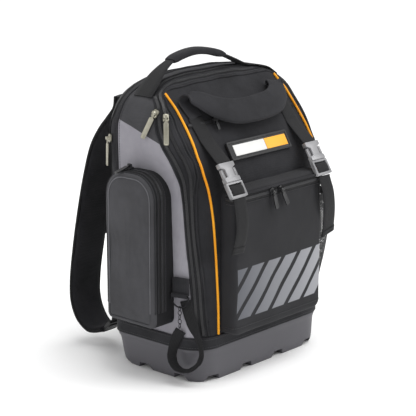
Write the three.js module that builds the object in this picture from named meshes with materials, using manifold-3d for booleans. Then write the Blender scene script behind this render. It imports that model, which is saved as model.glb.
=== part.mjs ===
// Tool backpack on a moulded tub, in millimetres. The origin is on the floor under the tub, +Z is up,
// the front faces -Y, the shoulder straps are at +Y and +X is the right-hand side seen from the front.
import * as THREE from "three";
import { mergeVertices } from "three/addons/utils/BufferGeometryUtils.js";
import Module from "manifold-3d";

const wasm = await Module();
wasm.setup();

// Clearances and walls
const GAP = 0.3; // between sewn or seated pieces
const CLOTH = 2.5; // coated polyester with its foam backing
const POCKET_CLOTH = 2;
const NET_CLOTH = 1.6;

// Body
const BODY_TOP = 474; // height of the crown over the floor
const BODY_HALF = 171; // half width at the widest section
const FRONT_DEPTH = 101; // origin to the front panel
const BACK_DEPTH = 92; // origin to the back panel
const FRONT_CORNER = 45; // radius of the upright front edges
const BACK_CORNER = 26; // radius of the upright back edges
const FRONT_SWELL = 5; // how far the front panel bulges in its middle

// Tub
const TUB_HEIGHT = 60;
const TUB_WALL = 3;
const TUB_FLOOR = 3;
const TREAD_DEPTH = 10; // height of the tread feet
const TREAD_GAP = 20; // width of a tread groove at its top
const TREAD_FLARE = 4.5; // how much wider each side of a groove is at the floor
const TREAD_PITCH_X = 80;
const TREAD_PITCH_Y = 76;
const TREAD_MIDDLE_Y = -14; // the foot pattern is centred here, front to back
const TRIM_HEIGHT = 20;
const TRIM_LAP = 4; // how far the binding laps down over the tub
const TRIM_THICK = 2.2;
const TRIM_CLEARANCE = 0.6; // over the panels' facets

// Piping
const PIPING_RADIUS = 2;

// Left box pocket
const BOX_WIDTH = 104; // along Y
const BOX_CENTRE_Y = 3;
const BOX_BOTTOM = 94;
const BOX_TOP = 337;
const BOX_REACH = 207; // x of its outer face
const BOX_CORNER = 40; // radius of its top corners
const BOX_FOOT_CORNER = 12;
const BOX_EDGE = 7; // rounding between its face and its gusset
const BOX_TAPE_WIDTH = 15;
const BOX_TAPE_X = -(BOX_REACH + BODY_HALF) / 2;
const TAPE_THICK = 1.2;

// Front pocket
const POUCH_HALF = 110;
const POUCH_TOP = 311;
const POUCH_DEPTH = 130; // origin to its face
const POUCH_CORNER = 14;
const POUCH_EDGE = 8;
const POUCH_TAPE_HEIGHT = 10;
const POUCH_TAPE_DROP = 9; // pocket top to the top of the tape

// Net pocket on the right
const NET_BOTTOM = 80;
const NET_TOP = 240;
const NET_BINDING = 12;
const NET_REACH = 52; // how far it bulges from the side
const NET_FRONT = -86;
const NET_BACK = 54;
const NET_ROWS = 5;
const NET_COLUMNS = 5;
const NET_HOLE = 19; // across the flats of one diamond gap

// Badge
const BADGE_WIDTH = 146;
const BADGE_HEIGHT = 31;
const BADGE_THICK = 4;
const BADGE_BORDER = 3.5;
const BADGE_RECESS = 1.4;
const BADGE_Z = 360;

// Lash straps and their buckles
const LASH_X = 106;
const LASH_WIDTH = 30;
const WEBBING = 1.8;
const LASH_TOP = 402;
const LASH_SEWN = 11; // length of each lash strap that lies on the slope below the slot zip
const BUCKLE_TOP = 352;
const BUCKLE_FRONT = 104.6; // depth of the buckle's top edge
const BUCKLE_LEAN = 32; // degrees that the buckle leans out from upright
const SOCKET_LENGTH = 32;
const SOCKET_WIDTH = 34;
const SOCKET_WAIST = 17;
const SOCKET_THICK = 8;
const FRAME_LENGTH = 26;
const FRAME_WIDTH = 37;
const FRAME_THICK = 6;
const FRAME_BAR = 3.5;
const SOCKET_BAR = 7;
const PRONG_WIDTH = 4.6;
const PRONG_THICK = 4;
const PRONG_LENGTH = 22;
const HEM_LENGTH = 12; // folded and stitched strap end
const HEM_THICK = 4.6;

// Slot zip on the slope
const SLOT_HALF = 128;
const SLOT_Z = 405;
const SLOT_WIDTH = 9;

// Handles
const HANDLE_Y = 22;
const HANDLE_WIDTH = 38;
const HANDLE_WEBBING = 2.2;
const HANDLE_RISE = 505; // z of the top handle's highest point
const HANDLE_SPAN = 153; // half the distance between its anchors
const GRIP_WIDTH = 22;
const GRIP_THICK = 12;
const GRIP_FROM = 0.31; // shares of the handle's length that the grip covers
const GRIP_TO = 0.62;
const FOLD_GRIP_WIDTH = 44;
const FOLD_GRIP_THICK = 9;

// Zip sliders and their pulls
const SLIDER_LENGTH = 13;
const SLIDER_WIDTH = 9;
const SLIDER_THICK = 2.6;
const PIN_RADIUS = 1;
const EAR_THICK = 1.6;
const EAR_HALF = 2.2;
const EYE_CLEARANCE = 0.35;
const EYE_WALL = 1.5;
const EYE_WIDTH = 3;
const PULL_THICK = 2;

// Ring, chain and tape loop on the left side
const RING_Y = -66;
const RING_Z = 146;
const RING_RADIUS = 13.5;
const RING_WIRE = 1.5;
const TAB_WIDTH = 28;
const TAB_HEIGHT = 28;
const TAB_STAND = 3.9; // webbing face to the body
const CHAIN_LINKS = 5;
const CHAIN_PITCH = 7; // a little under the links' free play, so that they are fused
const CHAIN_WIRE = 0.8;
const LINK_WIDTH = 8;
const LINK_LENGTH = 10;
const LOOP_WIDTH = 18;
const LOOP_THICK = 1.5;

// Shoulder harness
const STRAP_WIDTH = 70;
const STRAP_THICK = 11;
const STRAP_X = 105;
const HARNESS_WEBBING = 25;
const ADJUSTER_LENGTH = 22;
const ADJUSTER_WIDTH = 33;
const ADJUSTER_THICK = 6;
const WING_THICK = 6;
const WING_HALF = 20;
const WING_HEIGHT = 34;
const WING_SHIFT = 28; // wing outboard of the strap
const STERNUM_Z = 201;
const STERNUM_WIDTH = 20;
const STERNUM_SAG = 8;
const STERNUM_CLEARANCE = 0.6;
const CLASP_LENGTH = 40;
const CLASP_WIDTH = 27;
const CLASP_THICK = 8;
const PAD_HALF = 104;
const PAD_BOTTOM = 88;
const PAD_TOP = 392;
const PAD_THICK = 12;
const PAD_EDGE = 6;
const PAD_GROOVE = 26;

// Finishes
const finish = (color, roughness, metalness = 0) =>
  new THREE.MeshStandardMaterial({ color, roughness, metalness });
const CHARCOAL = finish(0x232325, 0.9);
const DARK_GREY = finish(0x434347, 0.9);
const ORANGE = finish(0xf5a623, 0.6);
const TUB_GREY = finish(0x66656b, 0.6);
const BLACK_WEBBING = finish(0x1b1b1d, 0.85);
const BLACK_PLASTIC = finish(0x17171a, 0.45);
const SILVER_PLASTIC = finish(0xa9a9ab, 0.35, 0.4);
const NICKEL = finish(0xb1ae9e, 0.35, 0.9);
const BLACK_RUBBER = finish(0x151517, 0.7);
const BLACK_STEEL = finish(0x2a2a2c, 0.4, 0.9);

const pack = new THREE.Group();

// Meshes, solids and placing
function solid(geometry) {
  const bare = geometry.index ? geometry.toNonIndexed() : geometry.clone();
  bare.deleteAttribute("normal");
  bare.deleteAttribute("uv");
  const merged = mergeVertices(bare, 1e-3);
  return new wasm.Manifold(
    new wasm.Mesh({
      numProp: 3,
      vertProperties: merged.attributes.position.array,
      triVerts: new Uint32Array(merged.index.array),
    }),
  );
}

function geometryOf(body) {
  const mesh = body.getMesh();
  const geometry = new THREE.BufferGeometry();
  geometry.setAttribute("position", new THREE.BufferAttribute(mesh.vertProperties, 3));
  geometry.setIndex(new THREE.BufferAttribute(mesh.triVerts, 1));
  return geometry;
}

function piece(name, body, material, group = pack) {
  const geometry = body.isBufferGeometry ? body : geometryOf(body);
  const mesh = new THREE.Mesh(geometry, material);
  mesh.name = name;
  group.add(mesh);
  return mesh;
}

const placed = (geometry, matrix) => geometry.clone().applyMatrix4(matrix);
const vec = (x, y, z) => new THREE.Vector3(x, y, z);
const X = vec(1, 0, 0);
const Y = vec(0, 1, 0);
const Z = vec(0, 0, 1);

// A matrix whose local x, y and z run along the given directions.
const frameAt = (origin, x, y, z) => new THREE.Matrix4().makeBasis(x, y, z).setPosition(origin);
// Shape x to Y, shape y to Z, depth to X; and shape x to X, shape y to Z, depth to -Y.
const ALONG_X = (x = 0) => frameAt(vec(x, 0, 0), Y, Z, X);
const ALONG_FRONT = (y = 0) => frameAt(vec(0, y, 0), X, Z, Y.clone().negate());

// Closed body through rings of as many points each, turning counter-clockwise seen from the last ring.
function loft(rings) {
  const n = rings[0].length;
  const points = rings.flat();
  const faces = [];
  for (let k = 0; k + 1 < rings.length; k++) {
    for (let i = 0; i < n; i++) {
      const a = k * n + i;
      const b = k * n + ((i + 1) % n);
      faces.push(a, b, b + n, a, b + n, a + n);
    }
  }
  const middle = (ring) => ring.reduce((s, p) => s.add(p), vec(0, 0, 0)).divideScalar(n);
  const first = points.push(middle(rings[0])) - 1;
  const last = points.push(middle(rings[rings.length - 1])) - 1;
  const top = (rings.length - 1) * n;
  for (let i = 0; i < n; i++) {
    const j = (i + 1) % n;
    faces.push(first, j, i, last, top + i, top + j);
  }
  return new THREE.BufferGeometry().setFromPoints(points).setIndex(faces);
}

// Strap that follows a path: each station has its centre, the direction of its width, and its section.
function sweep(stations, section) {
  const n = stations.length;
  const rings = stations.map((s, k) => {
    const before = stations[Math.max(k - 1, 0)].at;
    const after = stations[Math.min(k + 1, n - 1)].at;
    const along = after.clone().sub(before).normalize();
    const side = s.side.clone().addScaledVector(along, -s.side.dot(along)).normalize();
    const out = side.clone().cross(along).normalize();
    return section(s).map(([w, t]) => s.at.clone().addScaledVector(side, w).addScaledVector(out, t));
  });
  return loft(rings);
}

const flatSection = (s) => {
  const w = s.width / 2;
  const t = s.thick / 2;
  return [[w, -t], [-w, -t], [-w, t], [w, t]];
};

// Padded section with thin edges; shares of half the width and half the thickness.
const PAD_SECTION = [
  { w: 1, t: -0.35 }, { w: 0.82, t: -1 }, { w: -0.82, t: -1 }, { w: -1, t: -0.35 },
  { w: -1, t: 0.35 }, { w: -0.82, t: 1 }, { w: 0.82, t: 1 }, { w: 1, t: 0.35 },
];
const paddedSection = (s) => PAD_SECTION.map((p) => [(p.w * s.width) / 2, (p.t * s.thick) / 2]);

const curve = (points, steps) => new THREE.CatmullRomCurve3(points, false, "centripetal").getPoints(steps);

// A column of a table at a place that runs from 0 at its first row to 1 at its last.
function column(rows, key, share) {
  const place = share * (rows.length - 1);
  const k = Math.min(Math.floor(place), rows.length - 2);
  return THREE.MathUtils.lerp(rows[k][key], rows[k + 1][key], place - k);
}

function tube(points, radius, sides = 8, steps = 2 * points.length) {
  const section = new THREE.Shape();
  section.absarc(0, 0, radius, 0, 2 * Math.PI);
  return new THREE.ExtrudeGeometry(section, {
    steps,
    curveSegments: sides / 2,
    extrudePath: new THREE.CatmullRomCurve3(points, false, "centripetal"),
  });
}

// Rounded rectangle with a radius of its own at the top and the bottom corners.
function roundedShape(halfWidth, bottom, top, lower, upper = lower) {
  const s = new THREE.Shape();
  s.moveTo(-halfWidth + lower, bottom);
  s.lineTo(halfWidth - lower, bottom);
  s.absarc(halfWidth - lower, bottom + lower, lower, -Math.PI / 2, 0);
  s.lineTo(halfWidth, top - upper);
  s.absarc(halfWidth - upper, top - upper, upper, 0, Math.PI / 2);
  s.lineTo(-halfWidth + upper, top);
  s.absarc(-halfWidth + upper, top - upper, upper, Math.PI / 2, Math.PI);
  s.lineTo(-halfWidth, bottom + lower);
  s.absarc(-halfWidth + lower, bottom + lower, lower, Math.PI, 1.5 * Math.PI);
  return s;
}

const slab = (shape, depth, segments = 4) =>
  new THREE.ExtrudeGeometry(shape, { depth, bevelEnabled: false, curveSegments: segments });

const softSlab = (shape, depth, edge, segments = 4, edgeSteps = 2) =>
  new THREE.ExtrudeGeometry(shape, {
    depth: depth - 2 * edge,
    bevelThickness: edge,
    bevelSize: edge,
    bevelOffset: -edge,
    bevelSegments: edgeSteps,
    curveSegments: segments,
  }).translate(0, 0, edge);

// Body form: level sections, each a share of the named size it follows
const SECTIONS = [
  { up: 0.127, half: 0.936, front: 0.99, back: 0.978, corner: 0.98, rear: 1, swell: 0 },
  { up: 0.316, half: 0.947, front: 1, back: 0.989, corner: 1, rear: 1, swell: 0.6 },
  { up: 0.633, half: 0.982, front: 1, back: 1, corner: 1, rear: 1, swell: 1 },
  { up: 0.724, half: 0.994, front: 0.885, back: 1, corner: 1, rear: 1, swell: 0.9 },
  { up: 0.76, half: 0.998, front: 0.79, back: 1, corner: 0.97, rear: 1, swell: 0.8 },
  { up: 0.79, half: 1, front: 0.71, back: 1, corner: 0.93, rear: 1, swell: 0.8 },
  { up: 0.844, half: 0.994, front: 0.527, back: 1, corner: 0.84, rear: 1.08, swell: 0.9 },
  { up: 0.907, half: 0.959, front: 0.287, back: 0.989, corner: 0.67, rear: 1.46, swell: 0.8 },
  { up: 0.933, half: 0.924, front: 0.158, back: 0.978, corner: 0.6, rear: 1.69, swell: 0.7 },
  { up: 0.954, half: 0.86, front: 0.059, back: 0.946, corner: 0.53, rear: 1.85, swell: 0.6 },
  { up: 0.97, half: 0.766, front: -0.01, back: 0.891, corner: 0.49, rear: 1.77, swell: 0.5 },
  { up: 0.983, half: 0.655, front: -0.069, back: 0.826, corner: 0.49, rear: 1.54, swell: 0.4 },
  { up: 0.992, half: 0.526, front: -0.129, back: 0.761, corner: 0.44, rear: 1.31, swell: 0.2 },
  { up: 1, half: 0.3, front: -0.25, back: 0.62, corner: 0.3, rear: 0.7, swell: 0 },
];

function bodyAt(z) {
  const share = THREE.MathUtils.clamp(z / BODY_TOP, SECTIONS[0].up, 1);
  const k = Math.min(SECTIONS.findIndex((s, i) => i > 0 && share <= s.up), SECTIONS.length - 1);
  const [low, high] = [SECTIONS[k - 1], SECTIONS[k]];
  const t = (share - low.up) / (high.up - low.up);
  const mix = (key) => THREE.MathUtils.lerp(low[key], high[key], t);
  return {
    z,
    half: BODY_HALF * mix("half"),
    front: -FRONT_DEPTH * mix("front"),
    back: BACK_DEPTH * mix("back"),
    corner: FRONT_CORNER * mix("corner"),
    rear: BACK_CORNER * mix("rear"),
    swell: FRONT_SWELL * mix("swell"),
  };
}

// One level ring of the body, moved in by inset (out where inset is negative).
function bodyRing(s, inset = 0, segments = inset > GAP ? 3 : 4) {
  const half = s.half - inset;
  const front = s.front + inset;
  const back = s.back - inset;
  const corner = Math.max(s.corner - inset, 1);
  const rear = Math.max(s.rear - inset, 1);
  const ring = [];
  const arc = (cx, cy, r, from) => {
    for (let i = 0; i <= segments; i++) {
      const a = from + ((Math.PI / 2) * i) / segments;
      ring.push(vec(cx + r * Math.cos(a), cy + r * Math.sin(a), s.z));
    }
  };
  const flat = half - corner;
  for (const share of [-0.5, 0, 0.5]) ring.push(vec(flat * share, front - s.swell * (1 - share ** 2), s.z));
  arc(half - corner, front + corner, corner, -Math.PI / 2);
  arc(half - rear, back - rear, rear, 0);
  arc(-half + rear, back - rear, rear, Math.PI / 2);
  arc(-half + corner, front + corner, corner, Math.PI);
  return ring;
}

// The body's outer form grown by some amount, from a low level up over its crown.
function bodyForm(grow, low = TUB_HEIGHT + GAP) {
  const rows = grow < 0 ? SECTIONS.filter((s, i) => i % 2) : SECTIONS;
  const levels = [low, ...rows.map((s) => s.up * BODY_TOP).filter((z) => z > low + 1)];
  const rings = levels.map((z) => bodyRing(bodyAt(z), -grow));
  const lift = (z) => z + grow * THREE.MathUtils.smoothstep(z, 0.8 * BODY_TOP, BODY_TOP);
  rings.forEach((ring) => ring.forEach((p) => (p.z = lift(p.z))));
  return loft(rings);
}

// Depth of the front surface and width of the side surface
function frontY(x, z) {
  const s = bodyAt(z);
  const over = Math.abs(x) - (s.half - s.corner);
  if (over <= 0) return s.front - s.swell * (1 - (x / (s.half - s.corner)) ** 2);
  return s.front + s.corner - Math.sqrt(Math.max(s.corner ** 2 - over ** 2, 0));
}

function sideX(y, z) {
  const s = bodyAt(z);
  const over = s.front + s.corner - y;
  if (over > 0) return s.half - s.corner + Math.sqrt(Math.max(s.corner ** 2 - over ** 2, 0));
  const behind = y - (s.back - s.rear);
  if (behind > 0) return s.half - s.rear + Math.sqrt(Math.max(s.rear ** 2 - behind ** 2, 0));
  return s.half;
}

// Height of the crown over a point of the plan.
function topZ(x, y) {
  let [low, high] = [0.7 * BODY_TOP, BODY_TOP];
  for (let i = 0; i < 24; i++) {
    const z = (low + high) / 2;
    const inside = Math.abs(x) < sideX(y, z) && y > frontY(x, z) && y < bodyAt(z).back;
    [low, high] = inside ? [z, high] : [low, z];
  }
  return low;
}

// Point lifted off the front surface along its normal, and that normal.
function offFront(x, z, lift) {
  const step = 0.5;
  const slopeX = (frontY(x + step, z) - frontY(x - step, z)) / (2 * step);
  const slopeZ = (frontY(x, z + step) - frontY(x, z - step)) / (2 * step);
  const normal = vec(slopeX, -1, slopeZ).normalize();
  return { at: vec(x, frontY(x, z), z).addScaledVector(normal, lift), normal };
}

// The same off the left side surface.
function offLeft(y, z, lift) {
  const step = 0.5;
  const slopeY = (sideX(y + step, z) - sideX(y - step, z)) / (2 * step);
  const slopeZ = (sideX(y, z + step) - sideX(y, z - step)) / (2 * step);
  const normal = vec(-1, -slopeY, -slopeZ).normalize();
  return { at: vec(-sideX(y, z), y, z).addScaledVector(normal, lift), normal };
}

const bodyKeepOut = solid(bodyForm(GAP));

// Moulded tub with its tread
const TUB_ROWS = [
  { up: 0, half: 0.925, front: 0.945, back: 0.91, corner: 0.82 },
  { up: 0.13, half: 0.955, front: 0.97, back: 0.94, corner: 0.9 },
  { up: 0.74, half: 0.985, front: 0.985, back: 0.975, corner: 0.97 },
  { up: 0.86, half: 1, front: 1, back: 1, corner: 1 },
  { up: 1, half: 1, front: 1, back: 1, corner: 1 },
];

function tubForm(inset, low) {
  const rim = bodyAt(TUB_HEIGHT);
  return loft(
    TUB_ROWS.map((row, i) => {
      const section = {
        half: rim.half * row.half,
        front: rim.front * row.front,
        back: rim.back * row.back,
        corner: rim.corner * row.corner,
        rear: rim.rear + rim.corner * (1 - row.corner),
        swell: 0,
        z: Math.max(row.up * TUB_HEIGHT, low + i * 0.1),
      };
      if (inset && i === TUB_ROWS.length - 1) section.z += TUB_WALL;
      return bodyRing(section, inset);
    }),
  );
}

// A groove of trapezium section through the whole tread.
function treadGroove(alongX, offset) {
  const top = TREAD_GAP / 2;
  const foot = top + TREAD_FLARE;
  const below = 1;
  const shape = new THREE.Shape([
    new THREE.Vector2(offset - foot, -below),
    new THREE.Vector2(offset + foot, -below),
    new THREE.Vector2(offset + foot, 0),
    new THREE.Vector2(offset + top, TREAD_DEPTH),
    new THREE.Vector2(offset - top, TREAD_DEPTH),
    new THREE.Vector2(offset - foot, 0),
  ]);
  const reach = 2 * BODY_HALF;
  const groove = slab(shape, 2 * reach);
  return solid(placed(groove, alongX ? ALONG_X(-reach) : ALONG_FRONT(reach)));
}

function baseTub() {
  let tub = solid(tubForm(0, 0)).subtract(solid(tubForm(TUB_WALL, TREAD_DEPTH + TUB_FLOOR)));
  for (const k of [-1.5, -0.5, 0.5, 1.5]) tub = tub.subtract(treadGroove(false, k * TREAD_PITCH_X));
  for (const k of [-0.5, 0.5]) {
    tub = tub.subtract(treadGroove(true, TREAD_MIDDLE_Y + k * TREAD_PITCH_Y));
  }
  piece("base_tub", tub, TUB_GREY);
}

// Band sewn and riveted round the joint of cloth and tub
function baseTrim() {
  const low = TUB_HEIGHT - TRIM_LAP;
  const band = (grow, extra) =>
    solid(loft([low - extra, low + TRIM_HEIGHT + extra].map((z) => bodyRing(bodyAt(z), -grow))));
  piece("base_trim", band(TRIM_CLEARANCE + TRIM_THICK, 0).subtract(band(TRIM_CLEARANCE, 1)), CHARCOAL);
}

// Seams that part the shell, seen from the side: depth as a share of the front or back depth by height
const ZIP_FRONT = [
  { up: 0.1, y: -0.965 }, { up: 0.17, y: -0.955 }, { up: 0.34, y: -0.92 }, { up: 0.54, y: -0.88 },
  { up: 0.69, y: -0.86 }, { up: 0.732, y: -0.81 }, { up: 0.778, y: -0.69 }, { up: 0.816, y: -0.575 },
  { up: 0.852, y: -0.455 }, { up: 0.888, y: -0.33 }, { up: 0.928, y: -0.15 }, { up: 0.954, y: -0.03 },
  { up: 0.975, y: 0 }, { up: 1.1, y: 0.02 },
];
const ZIP_REAR = [
  { up: 0.1, y: -0.84 }, { up: 0.17, y: -0.83 }, { up: 0.34, y: -0.78 }, { up: 0.54, y: -0.735 },
  { up: 0.665, y: -0.675 }, { up: 0.711, y: -0.595 }, { up: 0.753, y: -0.485 }, { up: 0.795, y: -0.345 },
  { up: 0.844, y: -0.21 }, { up: 0.918, y: -0.08 }, { up: 0.949, y: 0.08 }, { up: 0.975, y: 0.22 },
  { up: 1.1, y: 0.3 },
];
const BACK_SEAM = [
  { up: 0.1, y: 0.675 }, { up: 0.84, y: 0.675 }, { up: 0.876, y: 0.65 }, { up: 0.918, y: 0.587 },
  { up: 0.96, y: 0.54 }, { up: 1.1, y: 0.52 },
];

// Everything in front of (or behind) a seam, moved back by shift.
function seamCutter(seam, depth, shift, behind) {
  const far = behind ? 3 * depth : -3 * depth;
  const line = seam.map((p) => new THREE.Vector2(p.y * depth + shift, p.up * BODY_TOP));
  const first = line[0];
  const last = line[line.length - 1];
  const outline = [...line, new THREE.Vector2(far, last.y), new THREE.Vector2(far, first.y)];
  if (THREE.ShapeUtils.isClockWise(outline)) outline.reverse();
  const reach = 2 * BODY_HALF;
  return solid(placed(slab(new THREE.Shape(outline), 2 * reach), ALONG_X(-reach)));
}

function bodyPanels() {
  const low = TUB_HEIGHT + GAP;
  const inner = solid(bodyForm(-CLOTH, low - 2));
  const shell = solid(bodyForm(0)).subtract(inner);
  const front = seamCutter(ZIP_FRONT, FRONT_DEPTH, -GAP / 2, false);
  const frontGrown = seamCutter(ZIP_FRONT, FRONT_DEPTH, GAP / 2, false);
  const rear = seamCutter(ZIP_REAR, FRONT_DEPTH, GAP / 2, true);
  const rearGrown = seamCutter(ZIP_REAR, FRONT_DEPTH, -GAP / 2, true);
  const back = seamCutter(BACK_SEAM, BACK_DEPTH, GAP / 2, true);
  const backGrown = seamCutter(BACK_SEAM, BACK_DEPTH, -GAP / 2, true);
  piece("front_compartment", shell.intersect(front), CHARCOAL);
  piece("front_zip_tape", shell.subtract(frontGrown).subtract(rearGrown), BLACK_WEBBING);
  piece("main_compartment", shell.intersect(rear).subtract(backGrown), DARK_GREY);
  piece("back_compartment", shell.intersect(back), CHARCOAL);
}

// Orange piping up the two front edges: place across the front by height, as shares
const PIPING_ROWS = [
  { up: 0.165, x: 0.675 }, { up: 0.24, x: 0.68 }, { up: 0.316, x: 0.69 }, { up: 0.39, x: 0.703 },
  { up: 0.456, x: 0.718 }, { up: 0.576, x: 0.754 }, { up: 0.66, x: 0.787 }, { up: 0.705, x: 0.8 },
  { up: 0.735, x: 0.803 }, { up: 0.765, x: 0.803 }, { up: 0.79, x: 0.8 }, { up: 0.815, x: 0.793 },
  { up: 0.844, x: 0.785 }, { up: 0.88, x: 0.78 }, { up: 0.907, x: 0.776 }, { up: 0.935, x: 0.772 },
  { up: 0.95, x: 0.768 },
];

function piping(name, side) {
  const lift = PIPING_RADIUS + GAP + 0.8;
  const points = PIPING_ROWS.map((r) => offFront(side * r.x * BODY_HALF, r.up * BODY_TOP, lift).at);
  piece(name, tube(points, PIPING_RADIUS, 6, 20), ORANGE);
}

// Left box pocket, its zip tape round the gusset
function boxForm(grow) {
  const shape = roundedShape(
    BOX_WIDTH / 2 + grow, BOX_BOTTOM - grow, BOX_TOP + grow, BOX_FOOT_CORNER + grow, BOX_CORNER + grow,
  );
  const inside = 0.75 * BODY_HALF;
  const depth = BOX_REACH + grow - inside;
  const pocket = softSlab(shape, depth, BOX_EDGE + grow, 3, grow < 0 ? 1 : 2);
  return solid(placed(pocket, frameAt(vec(-inside, BOX_CENTRE_Y, 0), Y.clone().negate(), Z, X.clone().negate())));
}

// Block between two corners.
function block(low, high) {
  const size = high.clone().sub(low);
  const middle = low.clone().add(high).multiplyScalar(0.5);
  return solid(new THREE.BoxGeometry(size.x, size.y, size.z).translate(middle.x, middle.y, middle.z));
}

function boxPocket() {
  const outer = boxForm(0).subtract(bodyKeepOut);
  piece("side_pocket", outer.subtract(boxForm(-POCKET_CLOTH)), DARK_GREY);
  const band = block(
    vec(BOX_TAPE_X - BOX_TAPE_WIDTH / 2, BOX_CENTRE_Y - BOX_WIDTH, BOX_BOTTOM + BOX_FOOT_CORNER),
    vec(BOX_TAPE_X + BOX_TAPE_WIDTH / 2, BOX_CENTRE_Y + BOX_WIDTH, BOX_TOP + BOX_WIDTH),
  );
  const tape = boxForm(GAP + TAPE_THICK).subtract(boxForm(GAP)).intersect(band);
  piece("side_pocket_zip", tape, BLACK_WEBBING);
}

// Front pocket
function pouchForm(grow) {
  const bottom = TUB_HEIGHT - TRIM_LAP + TRIM_HEIGHT + GAP;
  const shape = roundedShape(POUCH_HALF + grow, bottom - grow, POUCH_TOP + grow, POUCH_CORNER + grow);
  const inside = FRONT_DEPTH / 2;
  const pocket = softSlab(shape, POUCH_DEPTH + grow - inside, POUCH_EDGE + grow, 3, grow < 0 ? 1 : 2);
  return solid(placed(pocket, ALONG_FRONT(-inside)));
}

function frontPocket() {
  const pouch = pouchForm(0).subtract(bodyKeepOut);
  piece("front_pocket", pouch.subtract(pouchForm(-POCKET_CLOTH)), CHARCOAL);
  const top = POUCH_TOP - POUCH_TAPE_DROP;
  const band = block(
    vec(-2 * POUCH_HALF, -2 * POUCH_DEPTH, top - POUCH_TAPE_HEIGHT),
    vec(2 * POUCH_HALF, -(POUCH_DEPTH + FRONT_DEPTH + FRONT_SWELL) / 2, top),
  );
  const tape = pouchForm(GAP + TAPE_THICK).subtract(pouchForm(GAP)).intersect(band);
  piece("front_pocket_zip", tape, BLACK_WEBBING);
}

// Net pocket: how far it stands out by height, as shares
const NET_BULGE = [
  { up: 0, out: 0.12 }, { up: 0.2, out: 0.45 }, { up: 0.42, out: 0.8 }, { up: 0.66, out: 1 },
  { up: 0.85, out: 0.96 }, { up: 1, out: 0.86 },
];
const NET_ARC_STEPS = 8;

function netRing(z, bulge, inset) {
  const base = bodyAt(z).half;
  const middle = (NET_FRONT + NET_BACK) / 2;
  const reach = (NET_BACK - NET_FRONT) / 2 - inset;
  const depth = NET_REACH * bulge - inset;
  const square = 0.55; // below 1 the plan gets boxier than an ellipse
  const ring = [vec(base - 2 * FRONT_CORNER, middle + reach, z), vec(base - 2 * FRONT_CORNER, middle - reach, z)];
  for (let i = 0; i <= NET_ARC_STEPS; i++) {
    const a = (Math.PI * i) / NET_ARC_STEPS;
    const across = -Math.sign(Math.cos(a)) * Math.abs(Math.cos(a)) ** square;
    const out = Math.abs(Math.sin(a)) ** square;
    ring.push(vec(base + depth * out, middle + reach * across, z));
  }
  return ring;
}

function netForm(inset, low, high) {
  const height = NET_TOP - NET_BOTTOM;
  const inner = NET_BULGE.filter((r) => r.up * height + NET_BOTTOM > low && r.up * height + NET_BOTTOM < high);
  const levels = [low, ...inner.map((r) => NET_BOTTOM + r.up * height), high];
  return solid(loft(levels.map((z) => {
    const share = THREE.MathUtils.clamp((z - NET_BOTTOM) / height, 0, 1);
    const k = Math.max(NET_BULGE.findIndex((r, i) => i > 0 && share <= r.up), 1);
    const [a, b] = [NET_BULGE[k - 1], NET_BULGE[k]];
    return netRing(z, THREE.MathUtils.mapLinear(share, a.up, b.up, a.out, b.out), inset);
  })));
}

function netPocket() {
  const wall = netForm(0, NET_BOTTOM, NET_TOP).subtract(netForm(NET_CLOTH, NET_BOTTOM + NET_CLOTH, NET_TOP + 1));
  const diamond = new THREE.Shape(
    [[0, -1], [1, 0], [0, 1], [-1, 0]].map(([y, z]) => new THREE.Vector2((y * NET_HOLE) / 2, (z * NET_HOLE) / 2)),
  );
  const hole = slab(diamond, 2 * NET_REACH);
  const rowPitch = (NET_TOP - NET_BOTTOM) / (NET_ROWS + 1.4);
  const columnPitch = (NET_BACK - NET_FRONT) / (NET_COLUMNS + 1.6);
  const holes = [];
  for (let row = 0; row < NET_ROWS; row++) {
    const odd = row % 2;
    for (let column = 0; column < NET_COLUMNS - odd; column++) {
      const y = (NET_FRONT + NET_BACK) / 2 + (column - (NET_COLUMNS - 1 - odd) / 2) * columnPitch;
      const z = NET_BOTTOM + (row + 1.4) * rowPitch;
      holes.push(solid(placed(hole, frameAt(vec(bodyAt(z).half + 3, y, z), Y, Z, X))));
    }
  }
  const net = holes.reduce((body, h) => body.subtract(h), wall.subtract(bodyKeepOut));
  piece("net_pocket", net, BLACK_WEBBING);
  const top = NET_TOP + GAP;
  const rim = netForm(-0.6, top, top + NET_BINDING).subtract(netForm(NET_CLOTH + 0.6, top - 1, top + NET_BINDING + 1));
  piece("net_pocket_binding", rim.subtract(bodyKeepOut), BLACK_WEBBING);
}

// Badge on the slope: a moulded frame round a sunk plate
function badge() {
  const { at, normal } = offFront(0, BADGE_Z, 0);
  const up = normal.clone().cross(X).normalize();
  const place = (lift) => frameAt(at.clone().addScaledVector(normal, lift), X, up, normal);
  const face = roundedShape(BADGE_WIDTH / 2, -BADGE_HEIGHT / 2, BADGE_HEIGHT / 2, 2.5);
  const plate = roundedShape(
    BADGE_WIDTH / 2 - BADGE_BORDER, -BADGE_HEIGHT / 2 + BADGE_BORDER, BADGE_HEIGHT / 2 - BADGE_BORDER, 1,
  );
  const sunk = 4;
  const body = solid(placed(slab(face, BADGE_THICK + sunk, 1), place(-sunk)))
    .subtract(solid(placed(slab(plate, BADGE_THICK, 1), place(BADGE_THICK - BADGE_RECESS))))
    .subtract(bodyKeepOut);
  piece("badge", body, BLACK_RUBBER);
}

// Slot zip across the slope
function slotZip() {
  const stations = [-1, -0.6, -0.2, 0.2, 0.6, 1].map((share) => {
    const lift = 0.2 + GAP + TAPE_THICK / 2;
    const { at, normal } = offFront(share * SLOT_HALF, SLOT_Z, lift);
    return { at, side: normal.clone().cross(X).normalize(), width: SLOT_WIDTH, thick: TAPE_THICK };
  });
  piece("slot_zip", sweep(stations, flatSection), BLACK_WEBBING);
}

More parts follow.
